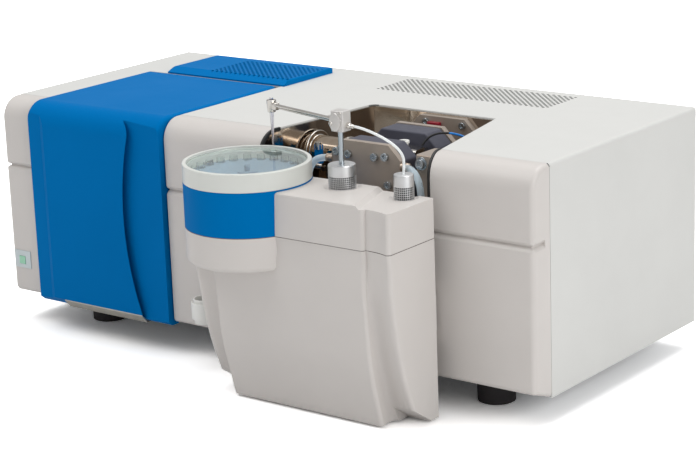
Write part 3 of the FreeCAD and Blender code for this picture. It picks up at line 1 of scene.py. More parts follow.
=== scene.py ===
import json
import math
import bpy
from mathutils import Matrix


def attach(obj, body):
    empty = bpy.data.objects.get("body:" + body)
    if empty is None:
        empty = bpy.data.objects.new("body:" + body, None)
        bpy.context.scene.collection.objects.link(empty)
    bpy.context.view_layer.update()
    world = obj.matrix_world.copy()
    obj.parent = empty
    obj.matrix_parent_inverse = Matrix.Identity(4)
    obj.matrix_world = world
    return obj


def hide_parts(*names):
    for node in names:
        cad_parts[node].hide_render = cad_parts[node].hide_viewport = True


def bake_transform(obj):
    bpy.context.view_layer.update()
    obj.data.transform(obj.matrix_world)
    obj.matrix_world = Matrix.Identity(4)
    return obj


bl_info = {
    "name": "Furnace Spectrometer",
    "version": (1, 0, 0),
    "blender": (4, 5, 0),
    "location": "View3D > Sidebar > Spectrometer",
    "description": "Dresses the packed spectrometer with its finishes, hoses and small parts",
    "category": "Object",
}

import bmesh
import bpy
from bpy.props import FloatProperty, FloatVectorProperty, IntProperty, PointerProperty
from bpy.types import Operator, Panel, PropertyGroup
from mathutils import Matrix, Vector

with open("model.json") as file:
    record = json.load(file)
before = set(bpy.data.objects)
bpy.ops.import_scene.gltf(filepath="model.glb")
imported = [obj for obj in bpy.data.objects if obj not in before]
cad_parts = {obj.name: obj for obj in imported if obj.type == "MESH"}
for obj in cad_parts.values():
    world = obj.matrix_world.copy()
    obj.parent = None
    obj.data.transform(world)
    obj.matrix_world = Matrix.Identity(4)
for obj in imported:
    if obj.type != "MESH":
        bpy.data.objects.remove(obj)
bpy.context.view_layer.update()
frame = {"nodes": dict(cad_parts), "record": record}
NODES = frame["nodes"]
HOMES = {
    node: body
    for body, held in frame["record"]["behaviour"]["bodies"].items()
    for node in held
}
MM = 0.001


def tone(red, green, blue):
    """A screen colour in 0 to 255 as the linear colour that shaders take."""
    made = []
    for part in (red, green, blue):
        share = part / 255
        made.append(share / 12.92 if share < 0.04045 else ((share + 0.055) / 1.055) ** 2.4)
    return tuple(made)


def colour_setting(name, words, default):
    return FloatVectorProperty(
        name=name, description=words, subtype="COLOR", size=3, min=0.0, max=1.0, default=default)


def length_setting(name, words, default):
    return FloatProperty(
        name=name, description=words, subtype="DISTANCE", unit="LENGTH", min=0.0, default=default)


# Settings that a user can change in the sidebar


class CabinetSettings(PropertyGroup):
    moulding: colour_setting(
        "Moulding", "Warm grey of the front mouldings and the sampler", tone(206, 201, 197))
    sheet: colour_setting(
        "Sheet", "Off-white powder coat of the covers", tone(210, 210, 207))
    blue: colour_setting(
        "Blue", "Blue of the door, the rear cover and the bowl's band", tone(0, 109, 177))
    edge: length_setting(
        "Edge radius", "How far the edges of the mouldings are softened", 1.2 * MM)


class BaySettings(PropertyGroup):
    plate: colour_setting(
        "Plates", "Warm nickel of the magnet's plates", tone(176, 164, 153))
    coil: colour_setting("Coils", "Dark paint of the magnet's coils", tone(70, 71, 84))
    hose_radius: length_setting("Hose radius", "Outer radius of a water hose", 4.2 * MM)
    lead_radius: length_setting("Lead radius", "Outer radius of the sensor lead", 1.4 * MM)


class SamplerSettings(PropertyGroup):
    ring: colour_setting("Ring", "Colour of the lid's ring", tone(214, 216, 211))
    dimple_columns: IntProperty(
        name="Dimples round", description="Dimples round the smaller boss", default=31, min=12,
        max=80)
    dimple_rows: IntProperty(
        name="Dimple rows", description="Rows of dimples on a knurled boss", default=6, min=2,
        max=16)
    capillary: length_setting("Capillary radius", "Outer radius of the dosing capillary", 1.6 * MM)


class StageSettings(PropertyGroup):
    floor: colour_setting("Floor", "Colour of the floor", (0.86, 0.86, 0.86))
    key_power: FloatProperty(
        name="Main light", description="Power of the large light", unit="POWER", default=38.0,
        min=0.0)
    fill_power: FloatProperty(
        name="Side light", description="Power of the side light", unit="POWER", default=38.0,
        min=0.0)
    top_power: FloatProperty(
        name="Top light", description="Power of the light above", unit="POWER", default=48.0,
        min=0.0)
    sky: FloatProperty(
        name="Sky", description="Strength of the even light from all round", default=0.48,
        min=0.0)


# Shader groups that several finishes share


def shader_group(name, inputs, outputs):
    group = bpy.data.node_groups.new(name, "ShaderNodeTree")
    for label, kind, default in inputs:
        made = group.interface.new_socket(label, in_out="INPUT", socket_type=kind)
        made.default_value = default
    for label, kind in outputs:
        group.interface.new_socket(label, in_out="OUTPUT", socket_type=kind)
    entry = group.nodes.new("NodeGroupInput")
    leave = group.nodes.new("NodeGroupOutput")
    return group, entry, leave


def noise(tree, vector, scale, detail, rough):
    made = tree.nodes.new("ShaderNodeTexNoise")
    tree.links.new(vector, made.inputs["Vector"])
    if isinstance(scale, (int, float)):
        made.inputs["Scale"].default_value = scale
    else:
        tree.links.new(scale, made.inputs["Scale"])
    made.inputs["Detail"].default_value = detail
    made.inputs["Roughness"].default_value = rough
    return made.outputs["Fac"]


def ramp(tree, value, low, high, to_low=0.0, to_high=1.0):
    made = tree.nodes.new("ShaderNodeMapRange")
    tree.links.new(value, made.inputs["Value"])
    made.inputs["From Min"].default_value = low
    made.inputs["From Max"].default_value = high
    made.inputs["To Min"].default_value = to_low
    made.inputs["To Max"].default_value = to_high
    return made.outputs["Result"]


def product(tree, first, second):
    made = tree.nodes.new("ShaderNodeMath")
    made.operation = "MULTIPLY"
    tree.links.new(first, made.inputs[0])
    tree.links.new(second, made.inputs[1])
    return made.outputs["Value"]


def by_ray(tree, ray, usual, other, leave):
    """Lead one shader to the output, and another one for the named kind of ray."""
    path = tree.nodes.new("ShaderNodeLightPath")
    mix = tree.nodes.new("ShaderNodeMixShader")
    tree.links.new(path.outputs[ray], mix.inputs["Fac"])
    tree.links.new(usual, mix.inputs[1])
    tree.links.new(other, mix.inputs[2])
    tree.links.new(mix.outputs["Shader"], leave.inputs["Surface"])


def grain_group():
    """Fine moulded or sprayed texture, with slow patches of wear."""
    group, entry, leave = shader_group(
        "fine_grain",
        [("Vector", "NodeSocketVector", (0, 0, 0)), ("Grain", "NodeSocketFloat", 900.0),
         ("Patches", "NodeSocketFloat", 9.0)],
        [("Height", "NodeSocketFloat"), ("Patch", "NodeSocketFloat")])
    fine = noise(group, entry.outputs["Vector"], entry.outputs["Grain"], 2.0, 0.6)
    slow = noise(group, entry.outputs["Vector"], entry.outputs["Patches"], 3.0, 0.6)
    group.links.new(fine, leave.inputs["Height"])
    group.links.new(ramp(group, slow, 0.3, 0.7), leave.inputs["Patch"])
    return group


def brushed_group():
    """Lines that a brush or a wheel leaves along one direction."""
    group, entry, leave = shader_group(
        "brushed_lines",
        [("Vector", "NodeSocketVector", (0, 0, 0)), ("Stretch", "NodeSocketVector", (1, 1, 1)),
         ("Fineness", "NodeSocketFloat", 900.0)],
        [("Lines", "NodeSocketFloat"), ("Smears", "NodeSocketFloat")])
    pull = group.nodes.new("ShaderNodeVectorMath")
    pull.operation = "MULTIPLY"
    group.links.new(entry.outputs["Vector"], pull.inputs[0])
    group.links.new(entry.outputs["Stretch"], pull.inputs[1])
    lines = noise(group, pull.outputs["Vector"], entry.outputs["Fineness"], 3.0, 0.7)
    smears = noise(group, entry.outputs["Vector"], 24.0, 2.0, 0.6)
    group.links.new(ramp(group, lines, 0.3, 0.7), leave.inputs["Lines"])
    group.links.new(ramp(group, smears, 0.35, 0.7), leave.inputs["Smears"])
    return group


def dust_group():
    """Thin dust that settles on faces that look up."""
    group, entry, leave = shader_group(
        "settled_dust",
        [("Vector", "NodeSocketVector", (0, 0, 0)), ("Amount", "NodeSocketFloat", 0.2)],
        [("Dust", "NodeSocketFloat")])
    facing = group.nodes.new("ShaderNodeNewGeometry")
    split = group.nodes.new("ShaderNodeSeparateXYZ")
    group.links.new(facing.outputs["Normal"], split.inputs["Vector"])
    upward = ramp(group, split.outputs["Z"], 0.6, 1.0)
    speck = ramp(group, noise(group, entry.outputs["Vector"], 160.0, 4.0, 0.7), 0.45, 0.75)
    settled = product(group, upward, speck)
    group.links.new(
        product(group, settled, entry.outputs["Amount"]), leave.inputs["Dust"])
    return group


GROUP_MAKERS = {
    "fine_grain": grain_group, "brushed_lines": brushed_group, "settled_dust": dust_group}
MADE_GROUPS = {}


def use_group(tree, name, vector, values):
    """A shader group in a finish's tree. The group is made at its first use."""
    if name not in MADE_GROUPS:
        MADE_GROUPS[name] = GROUP_MAKERS[name]()
    made = tree.nodes.new("ShaderNodeGroup")
    made.node_tree = MADE_GROUPS[name]
    tree.links.new(vector, made.inputs["Vector"])
    for label, value in values.items():
        made.inputs[label].default_value = value
    return made.outputs


# Finishes

MADE_FINISHES = {}


class Finish:
    """A material with one Principled shader, its place texture and its output."""

    def __init__(self, name, colour, rough, metal=0.0):
        self.material = bpy.data.materials.new(name)
        self.material.use_nodes = True
        self.material.diffuse_color = (*colour[:3], 1.0)
        self.tree = self.material.node_tree
        self.tree.nodes.clear()
        self.leave = self.tree.nodes.new("ShaderNodeOutputMaterial")
        self.shader = self.tree.nodes.new("ShaderNodeBsdfPrincipled")
        self.tree.links.new(self.shader.outputs["BSDF"], self.leave.inputs["Surface"])
        self.place = self.tree.nodes.new("ShaderNodeTexCoord").outputs["Object"]
        self.colour = colour
        self.shader.inputs["Base Color"].default_value = (*colour[:3], 1.0)
        self.shader.inputs["Roughness"].default_value = rough
        self.shader.inputs["Metallic"].default_value = metal
        MADE_FINISHES[name] = self.material

    def set(self, **values):
        for label, value in values.items():
            self.shader.inputs[label.replace("_", " ")].default_value = value

    def bump(self, height, strength, distance):
        made = self.tree.nodes.new("ShaderNodeBump")
        made.inputs["Strength"].default_value = strength
        made.inputs["Distance"].default_value = distance
        self.tree.links.new(height, made.inputs["Height"])
        self.tree.links.new(made.outputs["Normal"], self.shader.inputs["Normal"])

    def shade(self, mask, other, source=None):
        """Base colour that goes to another one where the mask is 1."""
        mix = self.tree.nodes.new("ShaderNodeMix")
        mix.data_type = "RGBA"
        self.tree.links.new(mask, mix.inputs["Factor"])
        if source is None:
            mix.inputs["A"].default_value = (*self.colour[:3], 1.0)
        else:
            self.tree.links.new(source, mix.inputs["A"])
        mix.inputs["B"].default_value = (*other[:3], 1.0)
        self.tree.links.new(mix.outputs["Result"], self.shader.inputs["Base Color"])
        return mix.outputs["Result"]

    def rough_by(self, mask, low, high):
        self.tree.links.new(
            ramp(self.tree, mask, 0.0, 1.0, low, high), self.shader.inputs["Roughness"])


def scaled(colour, share):
    """A darker or lighter copy of a colour."""
    return tuple(part * share for part in colour[:3])


def moulded(name, colour, rough, grain, depth, dust=0.15):
    """Moulded plastic or sprayed paint with fine texture and a little dust."""
    made = Finish(name, colour, rough)
    got = use_group(made.tree, "fine_grain", made.place, {"Grain": grain})
    tint = made.shade(got["Patch"], scaled(colour, 0.965))
    if dust:
        fall = use_group(made.tree, "settled_dust", made.place, {"Amount": dust})
        made.shade(fall["Dust"], tone(205, 203, 198), tint)
    made.rough_by(got["Patch"], rough * 0.94, min(rough * 1.08, 1.0))
    made.bump(got["Height"], depth, 0.0004)
    return made


def metal(name, colour, rough, stretch, fineness, worn=None, depth=0.05):
    """Machined or polished metal with brush lines and smears."""
    made = Finish(name, colour, rough, 1.0)
    got = use_group(made.tree, "brushed_lines", made.place,
                    {"Stretch": stretch, "Fineness": fineness})
    made.shade(got["Smears"], worn or scaled(colour, 0.86))
    made.rough_by(got["Lines"], rough * 0.8, rough * 1.25)
    made.bump(got["Lines"], depth, 0.0002)
    return made


def clear(name, colour, rough, ior):
    """Clear glass or plastic that lets light through to what is behind it."""
    made = Finish(name, colour, rough)
    made.set(Transmission_Weight=1.0, IOR=ior)
    got = use_group(made.tree, "fine_grain", made.place, {"Grain": 300.0, "Patches": 30.0})
    made.rough_by(got["Patch"], rough, rough * 2.5)
    through = made.tree.nodes.new("ShaderNodeBsdfTransparent")
    through.inputs["Color"].default_value = (*(0.5 + 0.5 * part for part in colour[:3]), 1.0)
    by_ray(made.tree, "Is Shadow Ray", made.shader.outputs["BSDF"], through.outputs["BSDF"],
           made.leave)
    return made


def make_finishes(settings):
    cabinet, bay, sampler = settings.cabinet, settings.bay, settings.sampler
    moulded("shell_grey", cabinet.moulding, 0.42, 620.0, 0.22)
    moulded("sheet_white", cabinet.sheet, 0.5, 1100.0, 0.16, dust=0.1)
    # Painted shade: a dark grey for the walls of the vent holes, where shade falls inside them.
    moulded("vent_painted_shade", tone(112, 114, 112), 0.7, 1100.0, 0.16, dust=0.0)
    # Painted shadow: dark brown for the ring in the gap between the sampler's body and its cover.
    moulded("seam_painted_shadow", tone(92, 84, 80), 0.7, 620.0, 0.16, dust=0.0)
    blue = moulded("door_blue", cabinet.blue, 0.46, 800.0, 0.05, dust=0.0)
    blue.set(Specular_IOR_Level=0.02, Specular_Tint=(0.0, 0.4, 0.85, 1.0))
    moulded("ring_white", sampler.ring, 0.34, 900.0, 0.08)
    moulded("edging_black", tone(30, 30, 31), 0.55, 700.0, 0.2)
    moulded("rubber_black", tone(40, 36, 38), 0.7, 500.0, 0.35, dust=0.0)
    moulded("label_blank", tone(201, 210, 212), 0.45, 500.0, 0.04, dust=0.0)
    moulded("dark_plastic", tone(38, 38, 40), 0.45, 700.0, 0.15)
    moulded("graphite", tone(46, 46, 48), 0.62, 1500.0, 0.25)
    moulded("port_white", tone(232, 232, 228), 0.3, 900.0, 0.05)
    moulded("red_plastic", tone(140, 10, 36), 0.35, 900.0, 0.06)
    moulded("tray_blue", tone(104, 128, 152), 0.4, 900.0, 0.06)
    moulded("coil_dark", bay.coil, 0.6, 420.0, 0.4, dust=0.05)
    moulded("board_green", tone(34, 92, 58), 0.4, 260.0, 0.2)
    moulded("lead_black", tone(28, 28, 30), 0.4, 900.0, 0.1, dust=0.0)
    moulded("lead_blue", tone(0, 120, 205), 0.35, 900.0, 0.1, dust=0.0)
    metal("polished_steel", tone(204, 196, 186), 0.09, (1, 1, 12), 120.0, tone(196, 187, 176), 0.01)
    metal("plain_zinc", tone(176, 178, 180), 0.38, (1, 8, 8), 160.0)
    metal("lip_silver", tone(196, 192, 182), 0.34, (1, 10, 10), 300.0)
    plate = metal("bronze_plate", bay.plate, 0.4, (1, 10, 10), 220.0)
    plate.set(Metallic=0.45)
    metal("bronze_edge", tone(196, 180, 164), 0.3, (1, 6, 6), 260.0)
    metal("bronze_dark", tone(112, 96, 82), 0.26, (1, 8, 8), 200.0)
    metal("bright_metal", tone(222, 218, 212), 0.14, (1, 1, 10), 260.0)
    metal("screw_steel", tone(186, 194, 200), 0.2, (1, 10, 10), 500.0)
    metal("aluminium", tone(228, 229, 230), 0.36, (1, 1, 14), 420.0)
    # Painted shade: a dark metal for the floors of the knurl's dimples.
    metal("dimple_painted_shade", tone(86, 88, 90), 0.5, (1, 1, 14), 420.0)
    silver = metal("satin_silver", tone(222, 219, 216), 0.42, (6, 6, 1), 500.0)
    silver.set(Metallic=0.6)
    metal("warm_chrome", tone(206, 192, 176), 0.07, (12, 1, 1), 120.0, tone(160, 136, 112), 0.0)
    clear("clear_glass", (0.93, 0.98, 0.95), 0.01, 1.3)
    clear("vial_clear", (0.92, 0.96, 0.95), 0.03, 1.4)
    clear("needle_clear", (0.8, 0.8, 0.86), 0.12, 1.35)
    hose = clear("hose_clear", (0.74, 0.84, 0.9), 0.22, 1.3)
    hose.set(Transmission_Weight=0.55)
    tube = clear("tube_white", (0.88, 0.9, 0.9), 0.28, 1.35)
    tube.set(Transmission_Weight=0.3)
    lens = moulded("lens_green", tone(150, 208, 176), 0.25, 600.0, 0.05, dust=0.0)
    lens.set(Coat_Weight=0.6)


def finish(name):
    return MADE_FINISHES[name]


# Modelling helpers


def new_piece(name, shell, looks, body, node=None, smooth=35.0):
    """Turn a finished bmesh into a piece that rides on a body."""
    mesh = bpy.data.meshes.new(name)
    shell.to_mesh(mesh)
    shell.free()
    piece = bpy.data.objects.new(name, mesh)
    bpy.context.scene.collection.objects.link(piece)
    for look in looks:
        mesh.materials.append(finish(look))
    mesh.shade_smooth()
    mesh.set_sharp_from_angle(angle=math.radians(smooth))
    level = piece.modifiers.new("Even normals", "WEIGHTED_NORMAL")
    level.keep_sharp = True
    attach(piece, body)
    if node:
        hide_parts(node)
    return piece


PERFORATED = ("main_cover", "rear_cover")


def merged(node):
    """A welded copy of a CAD node as a bmesh, its flat faces whole unless it is perforated."""
    shell = bmesh.new()
    shell.from_mesh(NODES[node].data)
    bmesh.ops.remove_doubles(shell, verts=shell.verts, dist=2e-6)
    if node not in PERFORATED:
        bmesh.ops.dissolve_limit(
            shell, angle_limit=math.radians(0.6), verts=shell.verts, edges=shell.edges)
    return shell


def soften(shell, width, angle, material, choose):
    """Round the chosen edges that turn by more than an angle."""
    edges = [
        edge for edge in shell.edges
        if len(edge.link_faces) == 2 and edge.calc_face_angle(0.0) > math.radians(angle)
        and (choose is None or choose(edge))
    ]
    if edges:
        bmesh.ops.bevel(
            shell, geom=edges, offset=width, offset_type="OFFSET", segments=2,
            profile=0.5, affect="EDGES", clamp_overlap=True, material=material)


def dress(node, look, width=0.0, edge_look=None, angle=28.0, smooth=35.0, choose=None):
    """A CAD node with welded, softened edges and its finish."""
    shell = merged(node)
    if width:
        soften(shell, width, angle, 1 if edge_look else -1, choose)
    looks = [look, edge_look] if edge_look else [look]
    return new_piece(node + "_dressed", shell, looks, HOMES[node], node, smooth)


def shade(piece, look, choose):
    """Another finish on the chosen faces of a piece."""
    piece.data.materials.append(finish(look))
    last = len(piece.data.materials) - 1
    for face in piece.data.polygons:
        if choose(face):
            face.material_index = last


def lathe(shell, outline, at, axis, steps, unit=MM):
    """Spin an outline of (radius, height) pairs into a closed ring or solid."""
    points = [shell.verts.new(Vector((wide * unit, 0.0, high * unit))) for wide, high in outline]
    edges = [shell.edges.new(pair) for pair in zip(points, points[1:])]
    before = set(shell.verts) - set(points)
    bmesh.ops.spin(
        shell, geom=points + edges, cent=(0, 0, 0), axis=(0, 0, 1), angle=math.tau,
        steps=steps, use_merge=True, use_duplicate=False)
    mine = [vert for vert in shell.verts if vert not in before]
    bmesh.ops.remove_doubles(shell, verts=mine, dist=1e-7)
    mine = [vert for vert in shell.verts if vert not in before]
    faces = list({face for vert in mine for face in vert.link_faces})
    bmesh.ops.recalc_face_normals(shell, faces=faces)
    turn = {"Z": Matrix(), "X": Matrix.Rotation(math.pi / 2, 4, "Y"),
            "Y": Matrix.Rotation(-math.pi / 2, 4, "X")}[axis]
    bmesh.ops.transform(shell, matrix=Matrix.Translation(Vector(at)) @ turn, verts=mine)
    return mine


def tube_mesh(name, points, radius):
    """A round tube along one smooth curve through the room between its points."""
    curve = bpy.data.curves.new(name + "_path", "CURVE")
    curve.dimensions = "3D"
    line = curve.splines.new("NURBS")
    line.points.add(len(points) - 1)
    for spot, point in zip(line.points, points):
        spot.co = (*point, 1.0)
    line.order_u = 3
    line.use_endpoint_u = True
    line.resolution_u = 10
    curve.bevel_depth = radius
    curve.bevel_resolution = 5
    curve.use_fill_caps = True
    holder = bpy.data.objects.new(name + "_path", curve)
    bpy.context.scene.collection.objects.link(holder)
    bpy.context.view_layer.update()
    seen = holder.evaluated_get(bpy.context.evaluated_depsgraph_get())
    mesh = bpy.data.meshes.new_from_object(seen)
    bpy.data.objects.remove(holder)
    bpy.data.curves.remove(curve)
    shell = bmesh.new()
    shell.from_mesh(mesh)
    bpy.data.meshes.remove(mesh)
    bmesh.ops.remove_doubles(shell, verts=shell.verts, dist=1e-7)
    bmesh.ops.recalc_face_normals(shell, faces=shell.faces)
    return shell


# Places that several pieces share, in millimetres: X, then in front of the rear panel
ARM_AT = (188, 422)
WASH_AT = (272, 415)
PORT_HIGH = 349.7
SLEEVE_START_X = 228.5
SMALL_BOSS_RADIUS = 12
# The rear panel's outer face, from the bowl's centre and radius and the fittings' reach
REAR = (452 + 77.8 - 18) / 2


def spot(x, deep, high):
    """A place from X, the distance in front of the rear panel, and the height."""
    return Vector((x * MM, (REAR - deep) * MM, high * MM))


def route(points):
    return [spot(*point) for point in points]


def domed_screw(shell, at, axis, radius):
    """A small pan-head screw with a recess, which faces along an axis."""
    shape = ((0.0, 0.2), (0.3, 0.24), (0.34, 0.53), (0.8, 0.4), (0.98, 0.18), (1.0, 0.0),
             (0.0, 0.0))
    return lathe(shell, shape, at, axis, 20, unit=radius)


# The pieces, one operator for each group


class SPECTROMETER_OT_finishes(Operator):
    """Make every finish"""

    bl_idname = "spectrometer.finishes"
    bl_label = "Finishes"

    def execute(self, context):
        make_finishes(context.scene.spectrometer)
        return {"FINISHED"}


class SPECTROMETER_OT_cabinet(Operator):
    """Dress the mouldings, the covers, the base and the feet"""

    bl_idname = "spectrometer.cabinet"
    bl_label = "Cabinet"

    def execute(self, context):
        edge = context.scene.spectrometer.cabinet.edge
        dress("front_moulding", "shell_grey", edge)
        dress("left_moulding", "shell_grey", edge)
        shade(dress("main_cover", "sheet_white"), "vent_painted_shade", self.in_a_hole)
        dress("left_cover", "sheet_white")
        dress("rear_panel", "sheet_white")
        dress("base_tray", "plain_zinc")
        dress("rubber_feet", "rubber_black", 1.2 * MM)
        dress("indicator_plate", "label_blank", 0.3 * MM)
        dress("indicator_lens", "lens_green", 0.5 * MM)
        dress("rinse_cup", "port_white", 0.5 * MM, angle=50)
        self.rear_screws()
        return {"FINISHED"}

    def in_a_hole(self, face):
        """Small upright faces near the top are the walls of the vent holes, which get painted
        shade.
        """
        upright = abs(face.normal.z) < 0.2
        return upright and face.area < 5 * MM * MM and face.center.z > 300 * MM

    def rear_screws(self):
        """Pan-head screws round the edge and the middle of the rear panel."""
        shell = bmesh.new()
        for high in (60, 175, 290):
            for x in (-410, -130, 130, 410):
                domed_screw(shell, spot(x, -0.05, high), "Y", 3.6 * MM)
        new_piece("rear_screws", shell, ["screw_steel"], "cabinet")


class SPECTROMETER_OT_door(Operator):
    """Dress the lamp door, its lip and the blue rear cover"""

    bl_idname = "spectrometer.door"
    bl_label = "Lamp door"

    def execute(self, context):
        dress("lamp_door", "door_blue", 2.4 * MM, angle=20, smooth=30)
        dress("door_lip", "lip_silver", 0.3 * MM)
        dress("rear_cover", "door_blue")
        return {"FINISHED"}


class SPECTROMETER_OT_bay(Operator):
    """Dress the bay, the magnet and the furnace"""

    bl_idname = "spectrometer.bay"
    bl_label = "Furnace bay"

    def execute(self, context):
        dress("bay_liner", "polished_steel")
        dress("bay_edging", "edging_black", 0.6 * MM)
        for node in ("magnet_front_plate", "magnet_rear_plates"):
            dress(node, "bronze_plate", 1.3 * MM, "bronze_edge", 30)
        for node in ("magnet_front_coil", "magnet_rear_coil"):
            dress(node, "coil_dark", 2.2 * MM, angle=30)
        dress("furnace_stand", "bronze_dark", 0.8 * MM, "bronze_edge", 40)
        dress("side_block", "bronze_plate", 1.2 * MM, "bronze_edge", 30)
        dress("furnace_contact", "bright_metal", 0.8 * MM, angle=40)
        dress("furnace_clamp", "bright_metal", 0.8 * MM, angle=40)
        dress("window_tubes", "warm_chrome", 1.0 * MM, "bright_metal", 50)
        dress("dosing_port", "port_white", 0.7 * MM, angle=50)
        dress("red_terminal", "red_plastic", 0.7 * MM)
        dress("plate_screws", "screw_steel", 0.4 * MM, angle=50)
        dress("graphite_tube", "graphite")
        self.lever()
        return {"FINISHED"}

    def lever(self):
        """The clamp's lever: a blue arm between a bright hub and a bright top."""
        piece = dress("clamp_lever", "door_blue", 0.8 * MM, angle=40)
        blue_low, blue_high = 269.2 * MM, 285.8 * MM
        shade(piece, "bright_metal",
              lambda face: not blue_low <= face.center.z <= blue_high)


class SPECTROMETER_OT_lines(Operator):
    """Lay the water hoses and the sensor lead in the bay"""

    bl_idname = "spectrometer.lines"
    bl_label = "Hoses and lead"

    def execute(self, context):
        bay = context.scene.spectrometer.bay
        left = route([(109, 341, 284), (97, 342, 284), (85, 346, 279), (79.5, 350, 264),
                      (79, 352, 240), (79, 352, 210), (79, 352, 178.3)])
        right = route([(222, 341, 285), (236, 350, 286), (251, 360, 282), (260, 365.5, 268),
                       (262, 367, 245), (262, 366, 212), (262, 366, 178.3)])
        for name, path in (("left_hose", left), ("right_hose", right)):
            shell = tube_mesh(name, path, bay.hose_radius)
            new_piece(name, shell, ["hose_clear"], "cabinet", "bay_lines")
        self.elbows()
        self.lead(bay.lead_radius)
        return {"FINISHED"}

    def elbows(self):
        """Ringed fittings between the front plate and the hoses."""
        shell = bmesh.new()
        ribs = [(0.0, -1.0), (4.4, -1.0), (5.7, -0.6), (5.7, 4.4), (4.6, 5.0), (4.6, 6.4),
                (5.2, 7.0), (4.6, 8.2), (4.6, 9.0), (5.1, 9.6), (4.4, 10.6), (4.0, 10.8),
                (0.0, 10.8)]
        for x, high, around in ((113, 284, math.pi), (217, 285, 0.0)):
            mine = lathe(shell, ribs, (0, 0, 0), "X", 28)
            turn = Matrix.Rotation(around, 4, "Z")
            bmesh.ops.transform(
                shell, matrix=Matrix.Translation(spot(x, 341, high)) @ turn, verts=mine)
        new_piece("hose_fittings", shell, ["bronze_edge"], "cabinet")

    def lead(self, radius):
        """The sensor lead, black at first and then in a blue sleeve."""
        line = route([(199.6, 276.4, 296), (203, 272, 304), (213, 266, 310.5), (226, 259, 311.5),
                      (238, 251, 308.5), (246, 243, 302.5), (250.2, 238, 297)])
        shell = tube_mesh("sensor_lead", line, radius)
        for face in shell.faces:
            if face.calc_center_median().x > SLEEVE_START_X * MM:
                face.material_index = 1
        new_piece("sensor_lead", shell, ["lead_black", "lead_blue"], "cabinet")


class SPECTROMETER_OT_optics(Operator):
    """Dress the optics and electronics inside the cabinet"""

    bl_idname = "spectrometer.optics"
    bl_label = "Optics and electronics"

    def execute(self, context):
        dress("optical_bench", "aluminium", 0.8 * MM)
        dress("lamp_turret", "aluminium", 0.8 * MM)
        dress("cathode_lamps", "vial_clear")
        dress("turret_motor", "dark_plastic", 1.0 * MM)
        dress("monochromator", "aluminium")
        dress("grating", "bright_metal", 0.4 * MM)
        dress("power_supply", "plain_zinc", 0.6 * MM)
        dress("furnace_transformer", "bronze_dark", 1.2 * MM)
        dress("control_board", "board_green")
        dress("fan_frame", "dark_plastic", 0.6 * MM)
        dress("fan_rotor", "dark_plastic", 0.3 * MM)
        self.guard()
        dress("mains_inlet", "dark_plastic", 0.5 * MM)
        dress("power_rocker", "dark_plastic", 0.4 * MM)
        dress("service_fittings", "bright_metal", 0.3 * MM, angle=50)
        return {"FINISHED"}

    def guard(self):
        """A wire guard over the fan's opening in the rear panel."""
        shell = bmesh.new()
        x, high = 165, 183
        for radius in (10, 19, 28, 39.5):
            inner, outer, near, far = radius - 0.9, radius + 0.9, 0.2, 2.0
            outline = [(inner, near), (outer, near), (outer, far), (inner, far), (inner, near)]
            lathe(shell, outline, spot(x, 0, high), "Y", 56)
        for turn in range(4):
            made = bmesh.ops.create_cube(shell, size=1.0)["verts"]
            size = Matrix.Diagonal((80 * MM, 1.4 * MM, 1.6 * MM, 1.0))
            around = Matrix.Rotation(math.radians(22.5 + 45 * turn), 4, "Y")
            place = Matrix.Translation(spot(x, -2.6, high))
            bmesh.ops.transform(shell, matrix=place @ around @ size, verts=made)
        new_piece("fan_guard", shell, ["screw_steel"], "cabinet")


